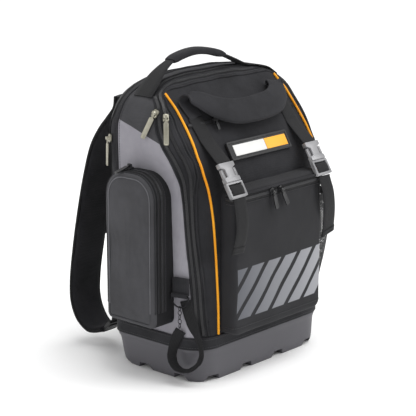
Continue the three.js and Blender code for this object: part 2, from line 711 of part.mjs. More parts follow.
// Lash strap, buckle and hanging tail on one side
const BUCKLE_DOWN = vec(
  0, -Math.sin(THREE.MathUtils.degToRad(BUCKLE_LEAN)), -Math.cos(THREE.MathUtils.degToRad(BUCKLE_LEAN)),
);
const BUCKLE_OUT = BUCKLE_DOWN.clone().cross(X);

const buckleFrame = (side, along, out = 0) =>
  frameAt(
    vec(side * LASH_X, -BUCKLE_FRONT, BUCKLE_TOP)
      .addScaledVector(BUCKLE_DOWN, along)
      .addScaledVector(BUCKLE_OUT, out),
    X, BUCKLE_DOWN.clone().negate(), BUCKLE_OUT.clone(),
  );

function lashStrap(name, side) {
  const lift = 0.5 + GAP + WEBBING / 2;
  const stations = [];
  for (let k = 0; k <= 2; k++) {
    const z = LASH_TOP - SLOT_WIDTH / 2 - k * LASH_SEWN / 2;
    stations.push({ at: offFront(side * LASH_X, z, lift).at });
  }
  const mouth = vec(side * LASH_X, -BUCKLE_FRONT, BUCKLE_TOP).addScaledVector(BUCKLE_DOWN, -GAP);
  stations.push({ at: mouth });
  stations.forEach((s) => Object.assign(s, { side: X, width: LASH_WIDTH, thick: WEBBING }));
  piece(name, sweep(stations, flatSection), BLACK_WEBBING);
}

// Spring arm of the male half, in the frame's place; grow makes the channel that it slides in.
function buckleSpring(hand, grow) {
  const outer = SOCKET_WIDTH / 2 - 0.3;
  const xs = [hand * (outer - PRONG_WIDTH - grow), hand * (outer + 4 * grow)].sort((a, b) => a - b);
  return block(vec(xs[0], -1, -PRONG_THICK / 2 - grow), vec(xs[1], PRONG_LENGTH + grow, PRONG_THICK / 2 + grow));
}

// Female half: wide bars at both ends of a narrow waist, with the springs of the male half beside it.
function buckleSocket(name, side) {
  const half = SOCKET_WIDTH / 2;
  const waist = SOCKET_WAIST / 2;
  const outline = [
    [-half, 0], [half, 0], [half, -SOCKET_BAR], [waist, -SOCKET_BAR - 4], [waist, -SOCKET_LENGTH + SOCKET_BAR + 2],
    [half, -SOCKET_LENGTH + SOCKET_BAR], [half, -SOCKET_LENGTH], [-half, -SOCKET_LENGTH],
    [-half, -SOCKET_LENGTH + SOCKET_BAR], [-waist, -SOCKET_LENGTH + SOCKET_BAR + 2],
    [-waist, -SOCKET_BAR - 4], [-half, -SOCKET_BAR],
  ].map(([x, y]) => new THREE.Vector2(x, y)).reverse();
  let body = solid(slab(new THREE.Shape(outline), SOCKET_THICK).translate(0, 0, -SOCKET_THICK / 2));
  for (const hand of [-1, 1]) {
    body = body.subtract(buckleSpring(hand, GAP).translate([0, -SOCKET_LENGTH - GAP, 0]));
  }
  piece(name, placed(geometryOf(body), buckleFrame(side, 0)), SILVER_PLASTIC);
}

// Male half: a webbing frame with a middle bar, and two springs that show at the waist.
function buckleFrameHalf(name, side) {
  const half = FRAME_WIDTH / 2;
  const frame = roundedShape(half, -FRAME_LENGTH, 0, 2);
  const openings = [
    { from: -FRAME_BAR, to: -FRAME_LENGTH / 2 + FRAME_BAR / 2 },
    { from: -FRAME_LENGTH / 2 - FRAME_BAR / 2, to: -FRAME_LENGTH + FRAME_BAR },
  ];
  for (const o of openings) {
    const hole = new THREE.Path();
    const w = half - FRAME_BAR;
    hole.moveTo(-w, o.from);
    hole.lineTo(-w, o.to);
    hole.lineTo(w, o.to);
    hole.lineTo(w, o.from);
    hole.closePath();
    frame.holes.push(hole);
  }
  let body = solid(slab(frame, FRAME_THICK, 1).translate(0, 0, -FRAME_THICK / 2));
  for (const hand of [-1, 1]) body = body.add(buckleSpring(hand, 0));
  piece(name, placed(geometryOf(body), buckleFrame(side, SOCKET_LENGTH + GAP)), SILVER_PLASTIC);
}

// Where each tail hangs below its buckle: shares of its length down, and of the lash place across
const TAIL_ROWS = {
  left: [
    { down: 0, x: 0, out: 0 }, { down: 0.25, x: 0.01, out: 0.06 }, { down: 0.55, x: 0.02, out: 0.1 },
    { down: 0.8, x: 0.03, out: 0.08 }, { down: 1, x: 0.035, out: 0.03 },
  ],
  right: [
    { down: 0, x: 0, out: 0 }, { down: 0.25, x: 0.05, out: 0.04 }, { down: 0.5, x: 0.11, out: 0.02 },
    { down: 0.75, x: 0.18, out: -0.04 }, { down: 1, x: 0.25, out: -0.12 },
  ],
};
const TAIL_LENGTH = { left: 72, right: 92 };

function lashTail(name, side, hand) {
  const start = vec(side * LASH_X, -BUCKLE_FRONT, BUCKLE_TOP).addScaledVector(
    BUCKLE_DOWN, SOCKET_LENGTH + FRAME_LENGTH + 2 * GAP + 1,
  );
  const length = TAIL_LENGTH[hand];
  const lead = start.clone().add(vec(0, -0.5, -4));
  const points = TAIL_ROWS[hand].map((r) =>
    vec(lead.x + side * r.x * LASH_X, lead.y - r.out * length, lead.z - r.down * length));
  const path = [start, ...curve(points, 5)];
  const stations = path.map((at) => ({ at, side: X, width: LASH_WIDTH - 2, thick: WEBBING }));
  const end = path[path.length - 1];
  const before = path[path.length - 2];
  const down = end.clone().sub(before).normalize();
  const hem = [0, 1].map((k) => ({
    at: end.clone().addScaledVector(down, -0.5 + k * HEM_LENGTH), side: X, width: LASH_WIDTH, thick: HEM_THICK,
  }));
  const body = solid(sweep(stations, flatSection)).add(solid(sweep(hem, flatSection)));
  piece(name, body, BLACK_WEBBING);
}

// Carry handle on the crown: rise as a share of its height over the anchors, by place across, and the
// width of its webbing, which is folded together towards the grip
const HANDLE_STEPS = 20;
const HANDLE_ROWS = [
  { x: -1, up: -0.04, wide: 1 }, { x: -0.95, up: 0.14, wide: 1 }, { x: -0.86, up: 0.36, wide: 0.92 },
  { x: -0.74, up: 0.62, wide: 0.68 }, { x: -0.6, up: 0.82, wide: 0.45 }, { x: -0.42, up: 0.95, wide: 0.45 },
  { x: -0.22, up: 1, wide: 0.45 }, { x: -0.02, up: 0.94, wide: 0.45 }, { x: 0.18, up: 0.8, wide: 0.45 },
  { x: 0.36, up: 0.62, wide: 0.5 }, { x: 0.54, up: 0.42, wide: 0.66 }, { x: 0.7, up: 0.27, wide: 0.9 },
  { x: 0.86, up: 0.15, wide: 1 }, { x: 1, up: -0.04, wide: 1 },
];

function handlePath() {
  const anchor = topZ(HANDLE_SPAN, HANDLE_Y);
  const points = HANDLE_ROWS.map((r) => {
    const x = r.x * HANDLE_SPAN;
    const skin = topZ(x, HANDLE_Y) + 2.5;
    return vec(x, HANDLE_Y, Math.max(THREE.MathUtils.lerp(anchor, HANDLE_RISE, r.up), skin));
  });
  return curve(points, HANDLE_STEPS);
}

function topHandle() {
  const path = handlePath();
  const webbing = path.map((at, k) => ({
    at, side: Y, width: HANDLE_WIDTH * column(HANDLE_ROWS, "wide", k / HANDLE_STEPS), thick: HANDLE_WEBBING,
  }));
  piece("top_handle", solid(sweep(webbing, flatSection)).subtract(bodyKeepOut), BLACK_WEBBING);
  const from = Math.round(GRIP_FROM * HANDLE_STEPS);
  const to = Math.round(GRIP_TO * HANDLE_STEPS);
  const covered = path.slice(from, to + 1).map((at) => ({ at, side: Y, width: GRIP_WIDTH, thick: GRIP_THICK }));
  const slot = webbing.slice(from - 1, to + 2).map((s) => ({
    ...s, width: s.width + 2 * GAP, thick: HANDLE_WEBBING + 2 * GAP,
  }));
  const grip = solid(sweep(covered, paddedSection)).subtract(solid(sweep(slot, flatSection)));
  piece("top_handle_grip", grip, BLACK_WEBBING);
}

// Folded handle on the slope: x as a share of the lash place, height on the slope as a share of the
// body, lift off the cloth and turn of the width from across (0) to up the slope (90), then the section
const FOLD_STEPS = 20;
const FOLD_ROWS = [
  { x: -0.98, up: 0.872, lift: 1.6, turn: 0, wide: 0.64, thick: 0.3 },
  { x: -1.01, up: 0.9, lift: 1.8, turn: 0, wide: 0.64, thick: 0.3 },
  { x: -1.02, up: 0.921, lift: 4.5, turn: 0, wide: 0.64, thick: 0.4 },
  { x: -0.98, up: 0.923, lift: 10, turn: 0, wide: 0.68, thick: 0.5 },
  { x: -0.86, up: 0.908, lift: 14, turn: 18, wide: 0.8, thick: 0.8 },
  { x: -0.64, up: 0.882, lift: 15, turn: 50, wide: 0.95, thick: 1 },
  { x: -0.35, up: 0.862, lift: 15, turn: 78, wide: 1, thick: 1 },
  { x: 0, up: 0.857, lift: 15, turn: 90, wide: 1, thick: 1 },
  { x: 0.35, up: 0.859, lift: 15, turn: 92, wide: 1, thick: 1 },
  { x: 0.66, up: 0.868, lift: 15, turn: 104, wide: 0.95, thick: 1 },
  { x: 0.88, up: 0.892, lift: 14, turn: 140, wide: 0.8, thick: 0.8 },
  { x: 0.99, up: 0.92, lift: 10, turn: 176, wide: 0.68, thick: 0.5 },
  { x: 1.02, up: 0.921, lift: 4.5, turn: 180, wide: 0.64, thick: 0.4 },
  { x: 1.01, up: 0.9, lift: 1.8, turn: 180, wide: 0.64, thick: 0.3 },
  { x: 0.98, up: 0.872, lift: 1.6, turn: 180, wide: 0.64, thick: 0.3 },
];

function frontHandle() {
  const { normal } = offFront(0, FOLD_ROWS[7].up * BODY_TOP, 0);
  const upSlope = normal.clone().cross(X).normalize();
  const rows = FOLD_ROWS.map((r) => ({
    ...r, at: offFront(r.x * LASH_X, r.up * BODY_TOP, r.lift + GAP).at,
  }));
  const path = curve(rows.map((r) => r.at), FOLD_STEPS);
  const stations = path.map((at, i) => {
    const mix = (key) => column(rows, key, i / FOLD_STEPS);
    const turn = THREE.MathUtils.degToRad(mix("turn"));
    const side = X.clone().multiplyScalar(Math.cos(turn)).addScaledVector(upSlope, Math.sin(turn));
    return { at, side, width: FOLD_GRIP_WIDTH * mix("wide"), thick: FOLD_GRIP_THICK * mix("thick") };
  });
  piece("front_handle", solid(sweep(stations, paddedSection)).subtract(bodyKeepOut), CHARCOAL);
}

// Zip slider with two ears and a pin, and the pull that swings on the pin. The local z of the frame
// stands off the cloth, y points up and the pull hangs down along -y, turned about its pin until it
// hangs straight down or meets the cloth.
const PIN_HEIGHT = SLIDER_THICK + PIN_RADIUS + EYE_CLEARANCE + EYE_WALL + 0.2;
const EAR_GAP = EYE_WIDTH / 2 + EYE_CLEARANCE;

function zipSlider() {
  let slider = solid(slab(roundedShape(SLIDER_WIDTH / 2, -SLIDER_LENGTH / 2, SLIDER_LENGTH / 2, 2.5), SLIDER_THICK, 1));
  for (const x of [EAR_GAP, -EAR_GAP - EAR_THICK]) {
    const low = vec(x, -EAR_HALF, SLIDER_THICK / 2);
    slider = slider.add(block(low, vec(x + EAR_THICK, EAR_HALF, PIN_HEIGHT + EAR_HALF)));
  }
  const pin = new THREE.CylinderGeometry(PIN_RADIUS, PIN_RADIUS, 2 * EAR_GAP + EAR_THICK, 6).rotateZ(Math.PI / 2);
  return slider.add(solid(pin.translate(0, 0, PIN_HEIGHT)));
}

// Pull in the frame of its pin.
function zipPull(pull) {
  const eye = PIN_RADIUS + EYE_CLEARANCE;
  const ring = new THREE.Shape();
  ring.absarc(0, 0, eye + EYE_WALL, 0, 2 * Math.PI);
  const bore = new THREE.Path();
  bore.absarc(0, 0, eye, 0, 2 * Math.PI, true);
  ring.holes.push(bore);
  const hub = solid(placed(slab(ring, EYE_WIDTH, 3), ALONG_X(-EYE_WIDTH / 2)));
  const neck = block(
    vec(-EYE_WIDTH / 2, -pull.neck - 1, -PULL_THICK / 2), vec(EYE_WIDTH / 2, -eye - 0.4, PULL_THICK / 2),
  );
  const tag = roundedShape(pull.width / 2, -pull.neck - pull.length, -pull.neck, pull.width / 4);
  return hub.add(neck).add(solid(slab(tag, PULL_THICK, 1).translate(0, 0, -PULL_THICK / 2)));
}

function zipPair(name, pull, place, keepOut) {
  const slider = solid(placed(geometryOf(zipSlider()), place));
  piece(name, slider, pull.material);
  const blocked = keepOut.add(slider);
  const [x, y, z] = [vec(0, 0, 0), vec(0, 0, 0), vec(0, 0, 0)];
  place.extractBasis(x, y, z);
  const straight = Math.atan2(z.z, y.z);
  const pin = vec(0, 0, PIN_HEIGHT).applyMatrix4(place);
  const shape = geometryOf(zipPull(pull));
  const swung = (angle) => placed(shape, frameAt(pin, x, y, z).multiply(new THREE.Matrix4().makeRotationX(angle)));
  let angle = 0;
  const step = Math.PI / 180;
  while (angle < straight && solid(swung(angle + step)).intersect(blocked).isEmpty()) angle += step;
  const mesh = piece(name.replace("slider", "pull"), swung(angle - step), pull.material);
  mesh.userData.hinge = { pin: pin.toArray(), axis: x.negate().toArray() };
}

// Frame on the cloth: origin, the direction off the cloth and the direction the pull hangs.
function clothFrame(at, normal, hang) {
  const up = hang.clone().negate().addScaledVector(normal, hang.dot(normal)).normalize();
  return frameAt(at, up.clone().cross(normal).normalize(), up, normal.clone().normalize());
}

const LONG_PULL = { width: 8, length: 36, neck: 8, material: NICKEL };
const SMALL_PULL = { width: 7.5, length: 24, neck: 5, material: BLACK_PLASTIC };
const TINY_PULL = { width: 5, length: 12, neck: 5, material: BLACK_PLASTIC };
const SLIDER_SEAT = 0.5; // slider to cloth or tape

function zips() {
  const leftZip = (name, y, z, hang) => {
    const { at, normal } = offLeft(y, z, SLIDER_SEAT);
    zipPair(name, LONG_PULL, clothFrame(at, normal, hang), bodyKeepOut);
  };
  leftZip("main_zip_slider", -14, 425, vec(0, 0.45, -1));
  leftZip("front_zip_slider", -29, 419, vec(0, 0.02, -1));
  leftZip("back_zip_slider", 77, 376, vec(0, 0.02, -1));

  const boxTop = BOX_TOP + GAP + TAPE_THICK + SLIDER_SEAT;
  const boxPlace = clothFrame(vec(BOX_TAPE_X, BOX_CENTRE_Y + 14, boxTop), Z, vec(-1, 0.1, 0));
  zipPair("side_pocket_slider", SMALL_PULL, boxPlace, boxForm(GAP + TAPE_THICK));

  const face = -(POUCH_DEPTH + GAP + TAPE_THICK + SLIDER_SEAT);
  const line = POUCH_TOP - POUCH_TAPE_DROP - POUCH_TAPE_HEIGHT / 2;
  const pouch = pouchForm(GAP + TAPE_THICK);
  const minusY = Y.clone().negate();
  zipPair("pouch_slider_left", SMALL_PULL, clothFrame(vec(-25, face, line), minusY, vec(0.3, 0, -1)), pouch);
  zipPair("pouch_slider_right", SMALL_PULL, clothFrame(vec(-4, face, line), minusY, vec(0.55, 0, -1)), pouch);

  const slot = offFront(-72, SLOT_Z, 0.2 + GAP + TAPE_THICK + SLIDER_SEAT);
  zipPair("slot_slider", TINY_PULL, clothFrame(slot.at, slot.normal, vec(0, 0, -1)), bodyKeepOut);
}

// Ring tab, ring, chain and tape loop
const ringOut = RING_WIRE + WEBBING + GAP + TAB_STAND;

function ringPieces() {
  const seat = offLeft(RING_Y, RING_Z, ringOut);
  const along = Z.clone().cross(seat.normal).normalize();
  const place = frameAt(seat.at, along, Z, seat.normal);
  const collar = RING_WIRE + GAP + WEBBING;
  const fold = solid(placed(tube([vec(-TAB_WIDTH / 2, 0, 0), vec(TAB_WIDTH / 2, 0, 0)], collar, 8, 1), place));
  const flap = solid(placed(
    slab(roundedShape(TAB_WIDTH / 2, 0, TAB_HEIGHT, 0.5), 2 * WEBBING, 1).translate(0, 0, -TAB_STAND - WEBBING), place,
  ));
  const bore = solid(placed(
    tube([vec(-TAB_WIDTH, 0, 0), vec(TAB_WIDTH, 0, 0)], RING_WIRE + GAP, 8, 1), place,
  ));
  piece("ring_tab", fold.add(flap).subtract(bore).subtract(bodyKeepOut), BLACK_WEBBING);

  const half = RING_RADIUS + RING_WIRE + 1.5;
  const arc = [];
  for (let i = 0; i <= 8; i++) {
    const a = Math.PI + (Math.PI * i) / 8;
    arc.push(vec(half * Math.cos(a), 1.15 * half * Math.sin(a), 0));
  }
  const bow = solid(placed(tube(arc, RING_WIRE, 6, 10), place));
  const bar = solid(placed(tube([vec(-half - 1, 0, 0), vec(half + 1, 0, 0)], RING_WIRE, 8, 1), place));
  piece("d_ring", bow.add(bar), BLACK_STEEL);

  const low = vec(0, -1.15 * half, 0).applyMatrix4(place);
  const reach = LINK_LENGTH / 2 - CHAIN_WIRE;
  let chain = null;
  for (let i = 0; i < CHAIN_LINKS; i++) {
    const link = new THREE.TorusGeometry(LINK_WIDTH / 2 - CHAIN_WIRE, CHAIN_WIRE, 5, 8)
      .scale(1, reach / (LINK_WIDTH / 2 - CHAIN_WIRE), 1)
      .rotateY(i % 2 ? Math.PI / 2 + 0.25 : 0.25);
    const drop = reach - RING_WIRE - CHAIN_WIRE - 0.4 + i * CHAIN_PITCH;
    const one = solid(link.rotateX(Math.PI / 2).translate(low.x, low.y, low.z - drop));
    chain = chain ? chain.add(one) : one;
  }
  piece("tape_chain", chain, BLACK_STEEL);
}

// Webbing loop under the chain: place across from the ring, height, how far it stands off the side,
// and the turn of its width from along the side (0) to straight out of it (90)
const LOOP_STEPS = 20;
const LOOP_ROWS = [
  { y: 0, z: 89, out: 6, turn: 20 }, { y: 4, z: 79, out: 8.5, turn: 38 }, { y: 9, z: 62, out: 12, turn: 62 },
  { y: 11, z: 44, out: 12.5, turn: 80 }, { y: 5, z: 30, out: 12.5, turn: 88 }, { y: -6, z: 25, out: 13, turn: 92 },
  { y: -17, z: 32, out: 14.5, turn: 96 }, { y: -23, z: 48, out: 14.5, turn: 102 }, { y: -22, z: 70, out: 12, turn: 112 },
  { y: -17, z: 92, out: 7, turn: 145 }, { y: -11, z: 114, out: 2, turn: 180 }, { y: -5, z: 137, out: 2, turn: 180 },
];

function tapeLoop() {
  const seats = LOOP_ROWS.map((r) => offLeft(RING_Y + r.y, r.z, r.out));
  const path = curve(seats.map((s) => s.at), LOOP_STEPS);
  const stations = path.map((at, i) => {
    const turn = THREE.MathUtils.degToRad(column(LOOP_ROWS, "turn", i / LOOP_STEPS));
    const { normal } = seats[Math.round((i / LOOP_STEPS) * (seats.length - 1))];
    const tangent = normal.clone().cross(Z).normalize();
    const side = tangent.multiplyScalar(Math.cos(turn)).addScaledVector(normal, Math.sin(turn));
    return { at, side, width: LOOP_WIDTH, thick: LOOP_THICK };
  });
  piece("tape_loop", sweep(stations, flatSection), BLACK_WEBBING);
}

// Shoulder strap: depth and height of its centre line, then its width as a share
const STRAP_ROWS = [
  { y: 96.7, z: 436, wide: 0.95 }, { y: 99, z: 418, wide: 0.97 }, { y: 113, z: 400, wide: 1 },
  { y: 131, z: 380, wide: 1 }, { y: 151, z: 349, wide: 1 }, { y: 170, z: 292, wide: 1 },
  { y: 185, z: 231, wide: 1 }, { y: 198, z: 170, wide: 0.98 }, { y: 208, z: 108, wide: 0.95 },
  { y: 208, z: 72, wide: 0.92 }, { y: 196, z: 43, wide: 0.88 }, { y: 174, z: 27, wide: 0.78 },
  { y: 152, z: 31, wide: 0.6 },
];
const STRAP_STEPS = 18;
const strapPath = () => curve(STRAP_ROWS.map((r) => vec(0, r.y, r.z)), STRAP_STEPS);

function shoulderStrap(name, side) {
  const stations = strapPath().map((at, i) => {
    const wide = column(STRAP_ROWS, "wide", i / STRAP_STEPS);
    return { at: at.clone().setX(side * STRAP_X), side: X, width: STRAP_WIDTH * wide, thick: STRAP_THICK };
  });
  piece(name, sweep(stations, paddedSection), CHARCOAL);
}

// Adjuster and webbing from the strap's end to the wing at the tub
function strapFoot(hand, side) {
  const path = strapPath();
  const end = path[path.length - 1];
  const start = vec(side * STRAP_X, end.y - 2 * GAP - ADJUSTER_THICK / 4, end.z);
  const wingFace = BACK_DEPTH + GAP + WING_THICK;
  const anchor = vec(side * (STRAP_X + WING_SHIFT), wingFace + 0.4 + WEBBING / 2, TUB_HEIGHT + TRIM_HEIGHT + 8);
  const toward = anchor.clone().sub(start).setX(0).normalize();
  const out = X.clone().cross(toward);
  const frame = roundedShape(ADJUSTER_WIDTH / 2, 0, ADJUSTER_LENGTH, 2);
  const slot = new THREE.Path();
  const [w, near, far] = [ADJUSTER_WIDTH / 2 - 3.5, 0.5 * ADJUSTER_LENGTH, 0.82 * ADJUSTER_LENGTH];
  slot.moveTo(-w, near);
  slot.lineTo(-w, far);
  slot.lineTo(w, far);
  slot.lineTo(w, near);
  slot.closePath();
  frame.holes.push(slot);
  const body = slab(frame, ADJUSTER_THICK, 2).translate(0, 0, -ADJUSTER_THICK / 2);
  piece(`strap_adjuster_${hand}`, placed(body, frameAt(start, X, toward, out)), BLACK_PLASTIC);
  const from = start.clone().addScaledVector(toward, ADJUSTER_LENGTH + GAP);
  const lead = from.clone().addScaledVector(toward, 6);
  const below = anchor.clone().add(vec(-side * 4, 3, -10));
  const high = anchor.clone().add(vec(0, 0, 12));
  const route = [from, ...curve([lead, lead.clone().lerp(below, 0.6), below, anchor, high], 8)];
  const stations = route.map((at) => ({ at, side: X, width: HARNESS_WEBBING, thick: WEBBING }));
  piece(`strap_webbing_${hand}`, sweep(stations, flatSection), BLACK_WEBBING);
  const low = TUB_HEIGHT + TRIM_HEIGHT - TRIM_LAP + GAP;
  const wing = new THREE.Shape([
    new THREE.Vector2(-WING_HALF, low), new THREE.Vector2(WING_HALF, low),
    new THREE.Vector2(0.7 * WING_HALF, low + WING_HEIGHT), new THREE.Vector2(-0.7 * WING_HALF, low + WING_HEIGHT),
  ]);
  const inside = BACK_DEPTH / 2;
  const sewn = placed(slab(wing, wingFace - inside), frameAt(vec(anchor.x, inside, 0), X.clone().negate(), Z, Y));
  piece(`strap_wing_${hand}`, solid(sewn).subtract(bodyKeepOut), CHARCOAL);
}

// Chest strap between the two shoulder straps, with its clasp
function sternumStrap() {
  const path = strapPath();
  const near = path.reduce((best, p) => (Math.abs(p.z - STERNUM_Z) < Math.abs(best.z - STERNUM_Z) ? p : best));
  const reach = STRAP_X - STRAP_WIDTH / 2 - STERNUM_CLEARANCE;
  const stations = [-1, -0.75, -0.5, -0.25, 0, 0.25, 0.5, 0.75, 1].map((share) => ({
    at: vec(share * reach, near.y, near.z - STERNUM_SAG * (0.5 + Math.cos(Math.PI * share) / 2)),
    side: Z, width: STERNUM_WIDTH, thick: WEBBING,
  }));
  piece("sternum_strap", sweep(stations, flatSection), BLACK_WEBBING);
  const shape = roundedShape(CLASP_LENGTH / 2, -CLASP_WIDTH / 2, CLASP_WIDTH / 2, 5);
  const clasp = solid(slab(shape, CLASP_THICK, 2).translate(0, 0, -CLASP_THICK / 2));
  const way = block(
    vec(-CLASP_LENGTH, -STERNUM_WIDTH / 2 - 2, -WEBBING / 2 - GAP),
    vec(CLASP_LENGTH, STERNUM_WIDTH / 2 + 2, WEBBING / 2 + GAP),
  );
  const place = frameAt(vec(0, near.y, near.z - STERNUM_SAG), X.clone().negate(), Z, Y);
  piece("sternum_clasp", placed(geometryOf(clasp.subtract(way)), place), BLACK_PLASTIC);
}

// Padded back panel with a channel down its middle
function backPad() {
  const shape = roundedShape(PAD_HALF, PAD_BOTTOM, PAD_TOP, 26);
  const depth = 20;
  const place = frameAt(vec(0, BACK_DEPTH + PAD_THICK - depth, 0), X.clone().negate(), Z, Y);
  const pad = solid(placed(softSlab(shape, depth, PAD_EDGE, 3), place));
  const groove = roundedShape(PAD_GROOVE / 2, PAD_BOTTOM - 20, PAD_TOP + 20, 4);
  const channel = solid(placed(
    slab(groove, PAD_THICK, 2), frameAt(vec(0, BACK_DEPTH + PAD_THICK - 5, 0), X.clone().negate(), Z, Y),
  ));
  piece("back_pad", pad.subtract(channel).subtract(bodyKeepOut), CHARCOAL);
}

baseTub();
baseTrim();
bodyPanels();
piping("piping_left", -1);
piping("piping_right", 1);
boxPocket();
frontPocket();
netPocket();
badge();
slotZip();
for (const [hand, side] of [["left", -1], ["right", 1]]) {
  lashStrap(`lash_strap_${hand}`, side);
  buckleSocket(`buckle_socket_${hand}`, side);
  buckleFrameHalf(`buckle_frame_${hand}`, side);
  lashTail(`lash_tail_${hand}`, side, hand);
  shoulderStrap(`shoulder_strap_${hand}`, side);
  strapFoot(hand, side);
}
topHandle();
frontHandle();
zips();
ringPieces();
tapeLoop();
sternumStrap();
backPad();

export default pack;
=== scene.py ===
"""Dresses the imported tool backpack: cloth panels, zips, webbing, padding, plastic and metal.

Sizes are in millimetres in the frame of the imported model; a mesh becomes metres as it becomes a piece.
"""

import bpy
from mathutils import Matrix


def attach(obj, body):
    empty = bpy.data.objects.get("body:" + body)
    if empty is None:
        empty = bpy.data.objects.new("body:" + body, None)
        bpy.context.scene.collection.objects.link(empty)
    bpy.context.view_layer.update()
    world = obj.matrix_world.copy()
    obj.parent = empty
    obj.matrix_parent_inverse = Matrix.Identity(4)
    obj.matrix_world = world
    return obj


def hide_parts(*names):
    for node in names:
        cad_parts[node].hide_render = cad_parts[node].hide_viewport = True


bl_info = {
    "name": "Tool Backpack",
    "version": (1, 0, 0),
    "blender": (4, 5, 0),
    "location": "3D View > Sidebar > Backpack",
    "description": "Builds the cloth, zips, webbing and hardware of a tool backpack",
    "category": "Object",
}

import math

import bmesh
import bpy
from bpy.props import FloatProperty, FloatVectorProperty, PointerProperty
from mathutils import Matrix, Vector, noise
from mathutils.bvhtree import BVHTree

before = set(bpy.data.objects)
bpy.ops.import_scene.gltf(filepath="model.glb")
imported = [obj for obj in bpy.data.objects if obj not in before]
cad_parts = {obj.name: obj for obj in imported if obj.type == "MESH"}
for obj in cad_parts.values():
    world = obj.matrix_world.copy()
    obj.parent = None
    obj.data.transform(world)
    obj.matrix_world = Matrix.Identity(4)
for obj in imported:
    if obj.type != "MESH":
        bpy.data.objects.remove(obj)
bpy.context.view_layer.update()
MILLIMETRE = 0.001

X = Vector((1, 0, 0))
Y = Vector((0, 1, 0))
Z = Vector((0, 0, 1))

# Body
BODY_TOP = 474
BODY_HALF = 171
FRONT_DEPTH = 101
BACK_DEPTH = 92
FRONT_CORNER = 45
BACK_CORNER = 26
FRONT_SWELL = 5
CLOTH = 2.5
GAP = 0.3
SECTION_SIZES = (BODY_HALF, -FRONT_DEPTH, BACK_DEPTH, FRONT_CORNER, BACK_CORNER, FRONT_SWELL)
SECTIONS = [  # up, then half, front, back, corner, rear and swell as shares of those sizes
    (0.127, 0.936, 0.99, 0.978, 0.98, 1, 0),
    (0.316, 0.947, 1, 0.989, 1, 1, 0.6),
    (0.633, 0.982, 1, 1, 1, 1, 1),
    (0.724, 0.994, 0.885, 1, 1, 1, 0.9),
    (0.76, 0.998, 0.79, 1, 0.97, 1, 0.8),
    (0.79, 1, 0.71, 1, 0.93, 1, 0.8),
    (0.844, 0.994, 0.527, 1, 0.84, 1.08, 0.9),
    (0.907, 0.959, 0.287, 0.989, 0.67, 1.46, 0.8),
    (0.933, 0.924, 0.158, 0.978, 0.6, 1.69, 0.7),
    (0.954, 0.86, 0.059, 0.946, 0.53, 1.85, 0.6),
    (0.97, 0.766, -0.01, 0.891, 0.49, 1.77, 0.5),
    (0.983, 0.655, -0.069, 0.826, 0.49, 1.54, 0.4),
    (0.992, 0.526, -0.129, 0.761, 0.44, 1.31, 0.2),
    (1, 0.3, -0.25, 0.62, 0.3, 0.7, 0),
]

# Seams of the shell seen from the side: up as a share of the height, depth as a share of its side's
ZIP_FRONT = [
    (0.1, -0.965), (0.17, -0.955), (0.34, -0.92), (0.54, -0.88), (0.69, -0.86), (0.732, -0.81),
    (0.778, -0.69), (0.816, -0.575), (0.852, -0.455), (0.888, -0.33), (0.928, -0.15),
    (0.954, -0.03), (0.975, 0), (1.1, 0.02),
]
ZIP_REAR = [
    (0.1, -0.84), (0.17, -0.83), (0.34, -0.78), (0.54, -0.735), (0.665, -0.675), (0.711, -0.595),
    (0.753, -0.485), (0.795, -0.345), (0.844, -0.21), (0.918, -0.08), (0.949, 0.08),
    (0.975, 0.22), (1.1, 0.3),
]
BACK_SEAM = [
    (0.1, 0.675), (0.84, 0.675), (0.876, 0.65), (0.918, 0.587), (0.96, 0.54), (1.1, 0.52),
]
BACK_ZIP = [
    (0.1, 0.913), (0.84, 0.913), (0.878, 0.85), (0.928, 0.76), (0.96, 0.735), (1.1, 0.715),
]
ZIP_PLACES = (0.3, 0.72)  # of the two zips, as shares of the way from the front seam to the rear one
TONE_LINE = (Vector((0, -7, 388)), Vector((0, 59.5, 409)))  # dark grey meets light grey on the side

# Piping up the front edges: up and place across the front, as shares
PIPING_RADIUS = 2
PIPING_ROWS = [
    (0.165, 0.675), (0.24, 0.68), (0.316, 0.69), (0.39, 0.703), (0.456, 0.718), (0.576, 0.754),
    (0.66, 0.787), (0.705, 0.8), (0.735, 0.803), (0.765, 0.803), (0.79, 0.8), (0.815, 0.793),
    (0.844, 0.785), (0.88, 0.78), (0.907, 0.776), (0.935, 0.772), (0.95, 0.768),
]

# Tub
TUB_HEIGHT = 60
TUB_WALL = 3
TREAD_DEPTH = 10
TREAD_GAP = 20
TREAD_FLARE = 4.5
TREAD_PITCH_X = 80
TREAD_PITCH_Y = 76
TREAD_MIDDLE_Y = -14
TUB_ROWS = [  # up, half, front, back, corner: shares of the rim's section
    (0, 0.925, 0.945, 0.91, 0.82), (0.13, 0.955, 0.97, 0.94, 0.9), (0.74, 0.985, 0.985, 0.975, 0.97),
    (0.86, 1, 1, 1, 1), (1, 1, 1, 1, 1),
]
TRIM_STITCHES = (3.6, 16.4)  # up from the binding's foot
TRIM_LAP = 4
TRIM_PROFILE = [  # out from the body, up from the binding's foot
    (0.6, 0.2), (2.3, 0), (2.9, 1), (2.5, 3.5), (2.6, 10), (2.5, 16.5), (2.9, 19), (2.3, 20), (0.6, 19.8),
]

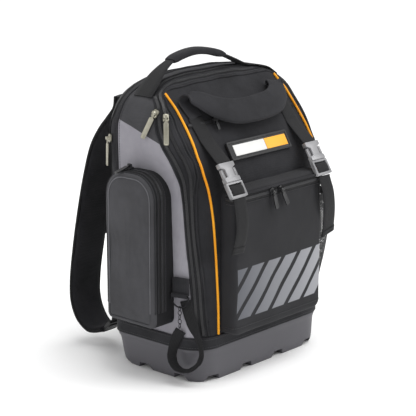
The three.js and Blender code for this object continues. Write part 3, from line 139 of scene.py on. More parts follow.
# Left box pocket
BOX_WIDTH = 104
BOX_CENTRE_Y = 3
BOX_BOTTOM = 94
BOX_TOP = 337
BOX_REACH = 207
BOX_CORNER = 40
BOX_FOOT_CORNER = 12
BOX_TAPE_X = (BOX_REACH + BODY_HALF) / 2
BOX_LEVELS = [  # inset from the outline and depth: up the gusset, then over the lip of the face
    (0, 0), (0, 176), (0, 183), (0, 190), (0, 197), (0.2, 200), (0.9, 203), (2.4, 205.3), (4.6, 206.6),
    (6.6, 206.9), (7.8, 205.4), (9, 206.5),
]
BOX_FACE = 200.5  # depth at which the gusset's black cloth meets the grey of the face
BOX_RIMS = [(202.2, 0.6), (196.6, 0), (181.4, 0)]  # depth and inset of the binding rolls

# Front pocket
POUCH_HALF = 110
POUCH_BOTTOM = 76.3
POUCH_TOP = 311
POUCH_DEPTH = 130
POUCH_CORNER = 14
POUCH_EDGE = 8
POUCH_ZIP_Z = 297
POUCH_LEVELS = [  # inset from the outline and depth
    (0, 0), (0, 112), (0, 117), (0, 121), (0.8, 125), (2.6, 128), (5.2, 129.6), (8, 130),
]
PRINT_PITCH = 41
PRINT_GAP = 0.27  # as a share of the pitch
PRINT_LEAN = 0.9  # of a stripe sideways, as a share of its rise
PRINT_LEFT = -103
PRINT_LOW = 103
PRINT_HIGH = 185

# Net pocket
NET_BOTTOM = 80
NET_TOP = 240
NET_BINDING = 12
NET_REACH = 52
NET_FRONT = -86
NET_BACK = 54
NET_SQUARE = 0.55
NET_AROUND = 210
NET_CORD = 2.3
NET_BULGE = [(0, 0.12), (0.2, 0.45), (0.42, 0.8), (0.66, 1), (0.85, 0.96), (1, 0.86)]  # up, out

# Colour blocks of the badge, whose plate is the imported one
BADGE_BLOCKS = {"white": (-61, 14), "amber": (15, 67)}  # from and to, across the plate
BLOCK_HEIGHT = 18
BLOCK_THICK = 1.6
BLOCK_SUNK = 1.1  # from the plate's rim down to a block's middle

# Lash straps and buckles
LASH_X = 106
LASH_WIDTH = 30
LASH_TOP = 397.5
WEBBING = 1.8
BUCKLE_TOP = 352
BUCKLE_FRONT = 104.6
BUCKLE_LEAN = math.radians(32)
SOCKET_LENGTH = 32
FRAME_LENGTH = 26
HEM_LENGTH = 12
HEM_THICK = 4.6
LASH_FOLD = [(36, -1.5), (40, 2.2), (44, 3.4), (48, 3.2), (52, 1.8), (56, -1)]  # down the buckle, out
TAIL_LENGTH = {"left": 72, "right": 92}
TAIL_ROWS = {  # down as a share of the length, x as a share of the lash place, out as a share of the length
    "left": [(0, 0, 0), (0.25, 0.01, 0.06), (0.55, 0.02, 0.1), (0.8, 0.03, 0.08), (1, 0.035, 0.03)],
    "right": [(0, 0, 0), (0.25, 0.05, 0.04), (0.5, 0.11, 0.02), (0.75, 0.18, -0.04), (1, 0.25, -0.12)],
}

# Slot zip, handles
SLOT_HALF = 128
SLOT_Z = 405
SLOT_WIDTH = 9
HANDLE_Y = 22
HANDLE_WIDTH = 38
HANDLE_RISE = 505
HANDLE_SPAN = 153
GRIP_WIDTH = 22
GRIP_THICK = 12
GRIP_FROM = 0.31
GRIP_TO = 0.62
HANDLE_ROWS = [  # x as a share of the span, rise over the anchors, width: folded together at the grip
    (-1, -0.04, 1), (-0.95, 0.14, 1), (-0.86, 0.36, 0.92), (-0.74, 0.62, 0.68), (-0.6, 0.82, 0.45),
    (-0.42, 0.95, 0.45), (-0.22, 1, 0.45), (-0.02, 0.94, 0.45), (0.18, 0.8, 0.45), (0.36, 0.62, 0.5),
    (0.54, 0.42, 0.66), (0.7, 0.27, 0.9), (0.86, 0.15, 1), (1, -0.04, 1),
]
FOLD_WIDTH = 44
FOLD_THICK = 9
FOLD_ROWS = [  # x, up, lift off the slope, turn of the width, then width and thickness as shares
    (-0.98, 0.872, 1.6, 0, 0.64, 0.3), (-1.01, 0.9, 1.8, 0, 0.64, 0.3), (-1.02, 0.921, 4.5, 0, 0.64, 0.4),
    (-0.98, 0.923, 10, 0, 0.68, 0.5), (-0.86, 0.908, 14, 18, 0.8, 0.8), (-0.64, 0.882, 15, 50, 0.95, 1),
    (-0.35, 0.862, 15, 78, 1, 1), (0, 0.857, 15, 90, 1, 1), (0.35, 0.859, 15, 92, 1, 1),
    (0.66, 0.868, 15, 104, 0.95, 1), (0.88, 0.892, 14, 140, 0.8, 0.8), (0.99, 0.92, 10, 176, 0.68, 0.5),
    (1.02, 0.921, 4.5, 180, 0.64, 0.4), (1.01, 0.9, 1.8, 180, 0.64, 0.3), (0.98, 0.872, 1.6, 180, 0.64, 0.3),
]

# Tape loop on the left side
RING_Y = -66
LOOP_WIDTH = 18
LOOP_THICK = 1.5
LOOP_ROWS = [  # along the side from the ring, z, out from the side, turn of the width
    (0, 89, 6, 20), (4, 79, 8.5, 38), (9, 62, 12, 62), (11, 44, 12.5, 80), (5, 30, 12.5, 88),
    (-6, 25, 13, 92), (-17, 32, 14.5, 96), (-23, 48, 14.5, 102), (-22, 70, 12, 112),
    (-17, 92, 7, 145), (-11, 114, 2, 180), (-5, 137, 2, 180),
]

# Shoulder harness
STRAP_WIDTH = 70
STRAP_THICK = 11
STRAP_X = 105
STRAP_ROWS = [  # y, z, width as a share
    (96.7, 436, 0.95), (99, 418, 0.97), (113, 400, 1), (131, 380, 1), (151, 349, 1), (170, 292, 1),
    (185, 231, 1), (198, 170, 0.98), (208, 108, 0.95), (208, 72, 0.92), (196, 43, 0.88),
    (174, 27, 0.78), (152, 31, 0.6),
]
PAD_HALF = 104
PAD_BOTTOM = 88
PAD_TOP = 392
PAD_THICK = 12
PAD_CORNER = 26
PAD_GROOVE = 26

# Patterns: widths of what they show
CLOTH_THREAD = 1.1  # about twice the real thread, so that the weave shows
FINE_THREAD = 0.9
WORN_PATCH = 71.43
SLACK_FOLD = 38.46
PRINT_FOLD = 45.45
RUBBED_PATCH = 45.45
TUMBLE_MARK = 1.111
DULL_PATCH = 8.333
KNIT_HOLE = 2.941
PAPER_SHADE = 333.3
WAVE = math.pi / 10  # scale at which a wave texture has one band in each unit of length

# Stage, in metres
FLOOR_RADIUS = 300
LENS = 137.2
CAMERA_PLACE = (-1.898, -1.662, 0.877)
CAMERA_AIM = (-0.012, 0.012, 0.244)


def read(rows, place, column=1):
    """A column of a table, read smoothly at a place of its first column."""
    place = min(max(place, rows[0][0]), rows[-1][0])
    k = next((i for i in range(1, len(rows) - 1) if place <= rows[i][0]), len(rows) - 1)
    low, high = rows[k - 1], rows[k]
    before, after = rows[max(k - 2, 0)], rows[min(k + 1, len(rows) - 1)]
    span = high[0] - low[0]
    slope_low = (high[column] - before[column]) / (high[0] - before[0])
    slope_high = (after[column] - low[column]) / (after[0] - low[0])
    t = (place - low[0]) / span
    return (
        low[column] * (2 * t**3 - 3 * t**2 + 1) + high[column] * (3 * t**2 - 2 * t**3)
        + span * (slope_low * (t**3 - 2 * t**2 + t) + slope_high * (t**3 - t**2))
    )


def blend(rows, share, column):
    """A column of a table at a share of the way through its rows."""
    place = share * (len(rows) - 1)
    k = min(int(place), len(rows) - 2)
    return rows[k][column] + (rows[k + 1][column] - rows[k][column]) * (place - k)


def curve(points, steps):
    """Points on a smooth curve through the given ones."""
    ends = [points[0] * 2 - points[1], *points, points[-1] * 2 - points[-2]]
    count = len(points) - 1
    found = []
    for i in range(steps + 1):
        place = min(i * count / steps, count - 1e-6)
        k = int(place)
        a, b, c, d = ends[k:k + 4]
        ta, tb, tc = (max((q - p).length, 1e-6) ** 0.5 for p, q in ((a, b), (b, c), (c, d)))
        start = ((b - a) / ta - (c - a) / (ta + tb) + (c - b) / tb) * tb
        end = ((c - b) / tb - (d - b) / (tb + tc) + (d - c) / tc) * tb
        t = place - k
        found.append(
            b * (2 * t**3 - 3 * t**2 + 1) + c * (3 * t**2 - 2 * t**3)
            + start * (t**3 - 2 * t**2 + t) + end * (t**3 - t**2)
        )
    return found


def spaced(points, pitch):
    """Places at an even pitch along a path, each with the path's direction there."""
    found = []
    due = pitch / 2
    for a, b in zip(points, points[1:]):
        length = (b - a).length
        while due < length:
            found.append((a.lerp(b, due / length), (b - a).normalized()))
            due += pitch
        due -= length
    return found


# Body skin
def section(z):
    """Half width, front, back, both corner radii and swell of the body at a height."""
    up = min(z / BODY_TOP, 1)
    return [read(SECTIONS, up, i + 1) * size for i, size in enumerate(SECTION_SIZES)]


def plan_ring(z, half, front, back, corner, rear, swell=0):
    """Level ring with four round corners, counter-clockwise seen from above."""
    arc, flat, side = 10, 26, 16
    points = []
    for i in range(flat):
        share = 2 * i / flat - 1
        points.append(Vector((share * (half - corner), front - swell * (1 - share**2), z)))
    corners = [
        (half - corner, front + corner, corner, side), (half - rear, back - rear, rear, flat),
        (rear - half, back - rear, rear, side), (corner - half, front + corner, corner, 0),
    ]
    for k, (x, y, radius, gap) in enumerate(corners):
        turn = (k - 1) * math.pi / 2
        spoke = [turn + math.pi / 2 * i / arc for i in range(arc + 1)]
        bend = [Vector((x + radius * math.cos(a), y + radius * math.sin(a), z)) for a in spoke]
        points += bend[:-1]
        if gap:
            x, y, radius, _ = corners[k + 1]
            far = Vector((x + radius * math.cos(spoke[-1]), y + radius * math.sin(spoke[-1]), z))
            points += [bend[-1].lerp(far, i / gap) for i in range(gap)]
    return points


def body_ring(z, grow=0):
    half, front, back, corner, rear, swell = section(z)
    corner, rear = max(corner + grow, 1), max(rear + grow, 1)
    return plan_ring(z, half + grow, front - grow, back + grow, corner, rear, swell)


def ring(bm, points):
    """Closed loop of edges through the points."""
    verts = [bm.verts.new(p) for p in points]
    return [bm.edges.new(pair) for pair in zip(verts, verts[1:] + verts[:1])]


def loft(rings, closed=False):
    """Skin bridged through rings of points; its ends are capped, or joined where it is closed."""
    bm = bmesh.new()
    loops = [ring(bm, points) for points in rings]
    pairs = list(zip(loops, loops[1:]))
    if closed:
        pairs.append((loops[-1], loops[0]))
    for a, b in pairs:
        bmesh.ops.bridge_loops(bm, edges=a + b)
    if not closed:
        bmesh.ops.contextual_create(bm, geom=loops[0])
        bmesh.ops.contextual_create(bm, geom=loops[-1])
    bmesh.ops.recalc_face_normals(bm, faces=bm.faces)
    return bm


def body_levels():
    """Heights of the body's rings, closer together where the crown curves."""
    levels = [TUB_HEIGHT + GAP]
    for (up, *low), (next_up, *high) in zip(SECTIONS, SECTIONS[1:]):
        reach = math.hypot((next_up - up) * BODY_TOP, (high[0] - low[0]) * BODY_HALF)
        count = max(math.ceil(reach / 6), 2)
        levels += [(up + (next_up - up) * (i + 1) / count) * BODY_TOP for i in range(count)]
    return levels


def dent(place):
    """How far the cloth lies inside the even form: slow hollows with shallow folds between them."""
    slow = noise.noise(place * 0.011 + Vector((3, 7, 1)))
    fold = noise.noise(Vector((place.x * 0.03, place.y * 0.05, place.z * 0.012)))
    dent_ramp_and_painted_shade = min(max((place.z - 90) / 60, 0), 1)
    return -dent_ramp_and_painted_shade * (1.1 + 1.3 * slow + 1.1 * fold)


def body_skin():
    rings = [body_ring(z) for z in body_levels()]
    top = rings[-1]
    middle = sum(top, Vector()) / len(top)
    for share in (0.8, 0.55, 0.3):
        rings.append([middle.lerp(p, share) + Z * (0.9 * (1 - share)) for p in top])
    bm = loft(rings)
    bm.normal_update()
    shift = [(v, v.normal * dent(v.co)) for v in bm.verts]
    for vert, move in shift:
        vert.co += move
    return bm


BODY = body_skin()
SKIN = BVHTree.FromBMesh(BODY)


def on_skin(start, direction, lift=0):
    """Where a ray meets the body, lifted off the cloth, and the direction off the cloth there."""
    at, normal, _, _ = SKIN.ray_cast(start, direction)
    if at is None:
        raise ValueError(f"no cloth from {start} towards {direction}")
    return at + normal * lift, normal


def on_front(x, z, lift=0):
    return on_skin(Vector((x, -400, z)), Y, lift)


def on_side(y, z, lift=0, side=-1):
    return on_skin(Vector((side * 400, y, z)), -side * X, lift)


def on_crown(x, y, lift=0):
    return on_skin(Vector((x, y, 700)), -Z, lift)


def seam_path(rows, depth, lift, low=78, shift=0):
    """Where a seam of the shell runs: up the left side, over the crown and down the right, moved
    across the cloth by a shift."""
    def depth_at(z):
        return read(rows, z / BODY_TOP) * depth

    turn = 118
    left = []
    z = low
    while z < 470:
        at, normal = on_side(depth_at(z), z)
        if abs(at.x) < turn:
            break
        left.append((at, normal))
        z += 4
    path = list(left)
    for i in range(49):
        x = turn * (i / 24 - 1)
        z = 465
        for _ in range(6):
            at, normal = on_crown(x, depth_at(z))
            z = at.z
        path.append((at, normal))
    for at, _ in reversed(left):
        path.append(on_side(depth_at(at.z), at.z, side=1))
    found = []
    for k, (at, normal) in enumerate(path):
        along = (path[min(k + 1, len(path) - 1)][0] - path[max(k - 1, 0)][0]).normalized()
        place, out, _, _ = SKIN.find_nearest(at + along.cross(normal) * shift)
        found.append((place + out * lift, out))
    return found


# Pieces
def settings():
    return bpy.context.scene.backpack_sizes


def piece(name, bm, finishes, slot, stands_for=(), body="pack", sharp=40):
    """Makes a millimetre mesh a smooth-shaded piece in metres that rides on a body."""
    bmesh.ops.scale(bm, vec=[MILLIMETRE] * 3, verts=bm.verts)
    mesh = bpy.data.meshes.new(name)
    bm.to_mesh(mesh)
    bm.free()
    mesh.shade_smooth()
    mesh.set_sharp_from_angle(angle=math.radians(sharp))
    made = bpy.data.objects.new(name, mesh)
    bpy.context.collection.objects.link(made)
    for finish in finishes if isinstance(finishes, list) else [finishes]:
        mesh.materials.append(finish)
    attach(made, body)
    if stands_for:
        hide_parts(*stands_for)
    return made


def node_mesh(node):
    """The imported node's mesh in millimetres, merged, with its flat faces made whole."""
    bm = bmesh.new()
    bm.from_mesh(bpy.data.objects[node].data)
    bmesh.ops.scale(bm, vec=[1 / MILLIMETRE] * 3, verts=bm.verts)
    bmesh.ops.remove_doubles(bm, verts=bm.verts, dist=0.005)
    bmesh.ops.dissolve_limit(bm, angle_limit=math.radians(1), verts=bm.verts, edges=bm.edges)
    return bm


def round_edges(bm, width, segments):
    """Bevels every edge that is sharper than 30 degrees."""
    sharp = [e for e in bm.edges if e.is_manifold and e.calc_face_angle(0) > math.radians(30)]
    bmesh.ops.bevel(
        bm, geom=sharp, offset=width, segments=segments, profile=0.5, affect="EDGES", material=-1,
        clamp_overlap=True,
    )
    return bm


def combined(bm, cutters, operation):
    """The closed mesh cut by, or kept inside, closed cutters."""
    parts = []
    for part in (bm, *cutters):
        mesh = bpy.data.meshes.new("cut")
        part.to_mesh(mesh)
        part.free()
        made = bpy.data.objects.new("cut", mesh)
        bpy.context.collection.objects.link(made)
        parts.append(made)
    for cutter in parts[1:]:
        cut = parts[0].modifiers.new("cut", "BOOLEAN")
        cut.operation = operation
        cut.solver = "EXACT"
        cut.object = cutter
    graph = bpy.context.evaluated_depsgraph_get()
    result = bmesh.new()
    result.from_object(parts[0], graph)
    for part in parts:
        mesh = part.data
        bpy.data.objects.remove(part)
        bpy.data.meshes.remove(mesh)
    return result


def join(bm, other):
    """Adds a second mesh to the first."""
    mesh = bpy.data.meshes.new("part")
    other.to_mesh(mesh)
    other.free()
    bm.from_mesh(mesh)
    bpy.data.meshes.remove(mesh)
    return bm


def sweep(path, sides, shape):
    """Strap along a path: shape(k) gives the section's points as across and out; cloth finishes read
    the attribute run, whose x is the place across and y the place along, in metres."""
    bm = bmesh.new()
    run = bm.verts.layers.float_vector.new("run")
    loops = []
    gone = 0
    for k, at in enumerate(path):
        before, after = path[max(k - 1, 0)], path[min(k + 1, len(path) - 1)]
        along = (after - before).normalized()
        across = (sides[k] - along * sides[k].dot(along)).normalized()
        out = across.cross(along).normalized()
        gone += (at - path[k - 1]).length if k else 0
        verts = []
        for w, t in shape(k):
            vert = bm.verts.new(at + across * w + out * t)
            vert[run] = Vector((w, gone, t)) * MILLIMETRE
            verts.append(vert)
        loops.append([bm.edges.new(pair) for pair in zip(verts, verts[1:] + verts[:1])])
    for a, b in zip(loops, loops[1:]):
        bmesh.ops.bridge_loops(bm, edges=a + b)
    bmesh.ops.contextual_create(bm, geom=loops[0])
    bmesh.ops.contextual_create(bm, geom=loops[-1])
    bmesh.ops.recalc_face_normals(bm, faces=bm.faces)
    return bm


def webbing_shape(width, thick):
    """Flat woven section with rounded edges."""
    w, t = width / 2, thick / 2
    return [
        (w - t, -t), (w / 2, -t), (0, -t), (-w / 2, -t), (t - w, -t), (-w, -0.4 * t), (-w, 0.4 * t),
        (t - w, t), (-w / 2, t), (0, t), (w / 2, t), (w - t, t), (w, 0.4 * t), (w, -0.4 * t),
    ]


def padded_shape(width, thick):
    """Stuffed section: full in its middle and thin at its edges."""
    points = 28
    found = []
    for i in range(points):
        a = -2 * math.pi * i / points
        across = math.copysign(abs(math.cos(a)) ** 0.62, math.cos(a))
        out = math.copysign(abs(math.sin(a)) ** 0.6, math.sin(a))
        found.append((across * width / 2, out * thick / 2))
    return found


def round_shape(radius, points):
    return [
        (radius * math.cos(-2 * math.pi * i / points), radius * math.sin(-2 * math.pi * i / points))
        for i in range(points)
    ]


def roll(path, radius, points=8):
    """Round roll along a path."""
    sides = []
    for k in range(len(path)):
        along = path[min(k + 1, len(path) - 1)] - path[max(k - 1, 0)]
        sides.append(along.cross(Z) if along.cross(Z).length > 0.2 * along.length else along.cross(X))
    for k in range(1, len(sides)):
        if sides[k].dot(sides[k - 1]) < 0:
            sides[k] = -sides[k]
    return sweep(path, sides, lambda k: round_shape(radius, points))


def row_of(places, size):
    """Row of small blocks: each place has its point, the path's direction and the direction off the
    cloth; size is across, along and out."""
    bm = bmesh.new()
    for at, along, out in places:
        across = along.cross(out).normalized()
        basis = Matrix((across, out.cross(across), out)).transposed().to_4x4()
        matrix = Matrix.Translation(at) @ basis @ Matrix.Diagonal((*size, 1))
        bmesh.ops.create_cube(bm, size=1, matrix=matrix)
    return bm


def along_cloth(path, pitch, lift):
    """Places at an even pitch along a path of points with their directions off the cloth."""
    found = []
    k = 0
    points = [at for at, _ in path]
    for at, along in spaced(points, pitch):
        while k < len(path) - 2 and (at - points[k + 1]).dot(points[k + 1] - points[k]) > 0:
            k += 1
        out = (path[k][1] - along * path[k][1].dot(along)).normalized()
        found.append((at + out * lift, along, out))
    return found


def zip_teeth(path, width):
    """Coil of a zip: fine ribs across the path."""
    pitch = settings().coil_pitch / MILLIMETRE
    return row_of(along_cloth(path, pitch, 0.5), (width, 0.62 * pitch, 1.1))


def stitches(path):
    """Row of lock stitches lying on the cloth."""
    pitch = settings().stitch_pitch / MILLIMETRE
    return row_of(along_cloth(path, pitch, 0.12), (0.55, 0.72 * pitch, 0.4))


def tape(path, width, thick, lift):
    """Flat tape on a path that lies on the cloth."""
    points = [at + out * lift for at, out in path]
    sides = []
    for k, (_, out) in enumerate(path):
        along = points[min(k + 1, len(path) - 1)] - points[max(k - 1, 0)]
        sides.append(out.cross(along))
    return sweep(points, sides, lambda k: webbing_shape(width, thick))


def outline(half, low, high, lower, upper, inset, side=14, flat=12):
    """Rounded rectangle as (across, up) points, counter-clockwise, with the same count at any inset."""
    arc = 9
    half, low, high = half - inset, low + inset, high - inset
    lower, upper = max(lower - inset, 0.5), max(upper - inset, 0.5)
    corners = [
        (half - lower, low + lower, lower, side), (half - upper, high - upper, upper, flat),
        (upper - half, high - upper, upper, side), (lower - half, low + lower, lower, flat),
    ]
    points = []
    for k, (x, y, radius, gap) in enumerate(corners):
        turn = (k - 1) * math.pi / 2
        bend = []
        for i in range(arc + 1):
            a = turn + math.pi / 2 * i / arc
            bend.append(Vector((x + radius * math.cos(a), y + radius * math.sin(a))))
        nx, ny, far, _ = corners[(k + 1) % 4]
        a = turn + math.pi / 2
        target = Vector((nx + far * math.cos(a), ny + far * math.sin(a)))
        points += bend[:-1] + [bend[-1].lerp(target, i / gap) for i in range(gap)]
    return points


def soft_box(shape, place, levels, dome, reach):
    """Pocket form: rings of an outline at (inset, depth) levels, then a crowned face. place turns
    (across, up, depth) into a point, and dome is how far the face swells over its half width."""
    rings = [[place(p.x, p.y, depth) for p in shape(inset)] for inset, depth in levels]
    edge, face = levels[-1]
    for share in (0.9, 0.78, 0.62, 0.45, 0.28, 0.12):
        inset = reach - (reach - edge) * share
        depth = face + dome * (1 - share**2)
        rings.append([place(p.x, p.y, depth) for p in shape(inset)])
    return loft(rings)


def crumple(bm, amount, size, seed, where=lambda co: 1.0):
    """Moves the cloth in and out along its normals in slow folds."""
    bm.normal_update()
    offset = Vector((seed, 2 * seed, 5 - seed))
    moves = [(v, v.normal * amount * where(v.co) * noise.noise(v.co / size + offset)) for v in bm.verts]
    for vert, move in moves:
        vert.co += move
    return bm


# Finishes
def linear(colour):
    """Linear red, green, blue and alpha of an sRGB hex colour."""
    values = [int(colour[i:i + 2], 16) / 255 for i in (0, 2, 4)]
    return [v / 12.92 if v <= 0.04045 else ((v + 0.055) / 1.055) ** 2.4 for v in values] + [1]


def add(tree, kind, inputs, **options):
    """Adds a node with its options, and sets or links its inputs."""
    made = tree.nodes.new("ShaderNode" + kind)
    for key, value in options.items():
        setattr(made, key, value)
    for key, value in inputs.items():
        if isinstance(value, bpy.types.NodeSocket):
            tree.links.new(value, made.inputs[key])
        else:
            made.inputs[key].default_value = value
    return made


def material(name, roughness, metallic=0.0, **shader):
    """A new material and its node tree, with its shader's constants set."""
    made = bpy.data.materials.new(name)
    made.use_nodes = True
    bsdf = made.node_tree.nodes["Principled BSDF"]
    bsdf.inputs["Roughness"].default_value = roughness
    bsdf.inputs["Metallic"].default_value = metallic
    for key, value in shader.items():
        bsdf.inputs[key.replace("_", " ").title().replace("Ior", "IOR")].default_value = value
    return made, made.node_tree, bsdf


def per(size):
    """Scale of a texture that shows things of a real size in millimetres."""
    return 1 / (size * MILLIMETRE)


def surface(tree, bsdf, colour, layers):
    """Gives the shader its colour, and layers of relief from the lowest up: each has its height, its
    depth in millimetres and its strength."""
    tree.links.new(colour, bsdf.inputs["Base Color"])
    under = {}
    for height, depth, strength in layers:
        inputs = {"Height": height, "Distance": depth * MILLIMETRE, "Strength": strength, **under}
        under = {"Normal": add(tree, "Bump", inputs).outputs["Normal"]}
    tree.links.new(under["Normal"], bsdf.inputs["Normal"])


def plain_weave(tree, place, thread):
    """Threads of a plain weave: even ribs along each axis, added up."""
    weave = 0.0
    for axis in "XYZ":
        inputs = {"Vector": place, "Scale": WAVE * per(thread)}
        rib = add(tree, "TexWave", inputs, bands_direction=axis).outputs["Fac"]
        weave = add(tree, "Math", {0: weave, 1: rib}).outputs[0]
    return weave


def woven(name, dark, light, thread, roughness=0.85):
    """Coated polyester in a plain weave: matt, with a fine grid of threads, painted shade between them, and
    faint cloudy wear.
    """
    made, tree, bsdf = material(name, roughness, sheen_weight=0.03, specular_ior_level=0.2)
    place = add(tree, "TexCoord", {}).outputs["Object"]
    weave = plain_weave(tree, place, thread)
    worn = {"Vector": place, "Scale": per(WORN_PATCH), "Detail": 4, "Roughness": 0.6}
    cloud = add(tree, "TexNoise", worn).outputs["Fac"]
    tone = add(tree, "MapRange", {0: cloud, 1: 0.3, 2: 0.7}).outputs[0]
    # Painted shade: the threads' relief also darkens the colour between them; the cloud adds random wear.
    shade = add(tree, "Math", {0: weave, 1: 0.12, 2: tone}, operation="MULTIPLY_ADD").outputs[0]
    colour = add(tree, "Mix", {0: shade, 6: linear(dark), 7: linear(light)}, data_type="RGBA").outputs[2]
    slack = {"Vector": place, "Scale": per(SLACK_FOLD), "Detail": 3, "Distortion": 0.6}
    fold = add(tree, "TexNoise", slack).outputs["Fac"]
    surface(tree, bsdf, colour, [(fold, 2.5, 0.45), (weave, 0.12, 0.7)])
    return made


def ribbed(name, dark, light, rib=1.6, across=2.4):
    """Polyester webbing: close ribs across the strap, in columns along it, matt with a slight sheen; its
    colour is lighter on the ribs and darker between them, as painted highlight and painted shade.
    """
    made, tree, bsdf = material(name, 0.72, sheen_weight=0.04, specular_ior_level=0.25)
    run = add(tree, "Attribute", {}, attribute_name="run").outputs["Vector"]
    weave = 1.0
    for pitch, axis in ((rib, "Y"), (across, "X")):
        inputs = {"Vector": run, "Scale": WAVE * per(pitch)}
        ribs = add(tree, "TexWave", inputs, bands_direction=axis).outputs["Fac"]
        weave = add(tree, "Math", {0: weave, 1: ribs}, operation="MULTIPLY").outputs[0]
    # Painted highlight and shade: the colour follows the ribs, light on their tops and dark between them.
    colour = add(tree, "Mix", {0: weave, 6: linear(dark), 7: linear(light)}, data_type="RGBA").outputs[2]
    surface(tree, bsdf, colour, [(weave, 0.35, 0.8)])
    return made


def moulded(name, dark, light, grain, roughness, depth=0.08, metallic=0.0):
    """Moulded plastic or rubber: even colour with a fine spark-eroded grain and rubbed patches."""
    made, tree, bsdf = material(name, roughness, metallic)
    place = add(tree, "TexCoord", {}).outputs["Object"]
    grit = add(tree, "TexNoise", {"Vector": place, "Scale": per(grain), "Detail": 2}).outputs["Fac"]
    rubbed = add(tree, "TexNoise", {"Vector": place, "Scale": per(RUBBED_PATCH), "Detail": 3}).outputs["Fac"]
    colour = add(tree, "Mix", {0: rubbed, 6: linear(dark), 7: linear(light)}, data_type="RGBA").outputs[2]
    polish = add(tree, "MapRange", {0: rubbed, 1: 0.35, 2: 0.65, 3: roughness - 0.08, 4: roughness + 0.08})
    tree.links.new(polish.outputs[0], bsdf.inputs["Roughness"])
    surface(tree, bsdf, colour, [(grit, depth, 0.6)])
    return made


def plated(name, dark, light, roughness):
    """Plated or blackened metal: bright with fine tumbling marks and dulled hollows."""
    made, tree, bsdf = material(name, roughness, 1.0)
    place = add(tree, "TexCoord", {}).outputs["Object"]
    marks = add(tree, "TexNoise", {"Vector": place, "Scale": per(TUMBLE_MARK), "Detail": 3}).outputs["Fac"]
    dull = add(tree, "TexNoise", {"Vector": place, "Scale": per(DULL_PATCH), "Detail": 2}).outputs["Fac"]
    colour = add(tree, "Mix", {0: dull, 6: linear(dark), 7: linear(light)}, data_type="RGBA").outputs[2]
    rough = add(tree, "MapRange", {0: marks, 1: 0.3, 2: 0.7, 3: roughness - 0.08, 4: roughness + 0.1})
    tree.links.new(rough.outputs[0], bsdf.inputs["Roughness"])
    surface(tree, bsdf, colour, [(marks, 0.03, 0.5)])
    return made


def spacer_mesh(name):
    """Knitted air mesh: a close field of small round holes, darkened inside with painted shade."""
    made, tree, bsdf = material(name, 0.9, sheen_weight=0.04, specular_ior_level=0.2)
    place = add(tree, "TexCoord", {}).outputs["Object"]
    holes = add(tree, "TexVoronoi", {"Vector": place, "Scale": per(KNIT_HOLE)}, feature="F1")
    knit_relief_and_painted_shade = add(tree, "MapRange", {0: holes.outputs["Distance"], 1: 0.25, 2: 0.6}).outputs[0]
    # Painted shade: the holes, sunk by the bump, are also darker in colour.
    knit_tones_with_painted_shade = {0: knit_relief_and_painted_shade, 6: linear("0b0b0c"), 7: linear("29292b")}
    surface(tree, bsdf, add(tree, "Mix", knit_tones_with_painted_shade, data_type="RGBA").outputs[2], [(knit_relief_and_painted_shade, 0.8, 0.8)])
    return made


def striped_print_with_painted_shade(name):
    """Reflective grey print on charcoal cloth: leaning stripes with narrow dark gaps, silvery and
    smoother than the weave round them; painted shade makes the stripes darker towards the left."""
    made, tree, bsdf = material(name, 0.85, sheen_weight=0.03, specular_ior_level=0.3)
    place = add(tree, "TexCoord", {}).outputs["Object"]
    parts = add(tree, "SeparateXYZ", {0: place}).outputs
    leaning = {0: parts["Z"], 1: -PRINT_LEAN, 2: parts["X"]}
    across = add(tree, "Math", leaning, operation="MULTIPLY_ADD").outputs[0]
    turns = add(tree, "Math", {0: across, 1: per(PRINT_PITCH)}, operation="MULTIPLY").outputs[0]
    share = add(tree, "Math", {0: turns}, operation="FRACT").outputs[0]
    mask = add(tree, "Math", {0: share, 1: PRINT_GAP}, operation="GREATER_THAN").outputs[0]
    for axis, side, edge in (
        ("Z", "GREATER_THAN", PRINT_LOW), ("Z", "LESS_THAN", PRINT_HIGH), ("X", "GREATER_THAN", PRINT_LEFT),
    ):
        inside = add(tree, "Math", {0: parts[axis], 1: edge * MILLIMETRE}, operation=side).outputs[0]
        mask = add(tree, "Math", {0: mask, 1: inside}, operation="MULTIPLY").outputs[0]
    # Painted shade: the silver print turns darker towards the left, where less light falls.
    dent_ramp_and_painted_shade = add(tree, "MapRange", {0: parts["X"], 1: -0.1, 2: 0.1}).outputs[0]
    silver_with_painted_shade = add(tree, "Mix", {0: dent_ramp_and_painted_shade, 6: linear("5a5c62"), 7: linear("97989d")}, data_type="RGBA")
    cloud = add(tree, "TexNoise", {"Vector": place, "Scale": per(WORN_PATCH), "Detail": 4}).outputs["Fac"]
    cloth = add(tree, "Mix", {0: cloud, 6: linear("19191b"), 7: linear("2d2d30")}, data_type="RGBA")
    colour = add(tree, "Mix", {0: mask, 6: cloth.outputs[2], 7: silver_with_painted_shade.outputs[2]}, data_type="RGBA")
    rough = add(tree, "MapRange", {0: mask, 3: 0.85, 4: 0.5}).outputs[0]
    tree.links.new(rough, bsdf.inputs["Roughness"])
    weave = plain_weave(tree, place, CLOTH_THREAD)
    fold = add(tree, "TexNoise", {"Vector": place, "Scale": per(PRINT_FOLD), "Detail": 3}).outputs["Fac"]
    surface(tree, bsdf, colour.outputs[2], [(fold, 2.5, 0.45), (weave, 0.1, 0.6)])
    return made


# Coated polyester: matt panels that show their folds; the light grey one is smoother and cooler
CHARCOAL = woven("charcoal coated polyester", "1a1a1c", "2c2c2f", CLOTH_THREAD)
SHADOW_CHARCOAL = woven("black coated polyester", "121214", "202022", CLOTH_THREAD)
DARK_GREY = woven("dark grey coated polyester", "39393b", "48484b", CLOTH_THREAD)
LIGHT_GREY = woven("light grey coated polyester", "86848b", "9b99a0", CLOTH_THREAD, 0.7)
PRINT_WITH_PAINTED_SHADE = striped_print_with_painted_shade("charcoal polyester with a reflective print")
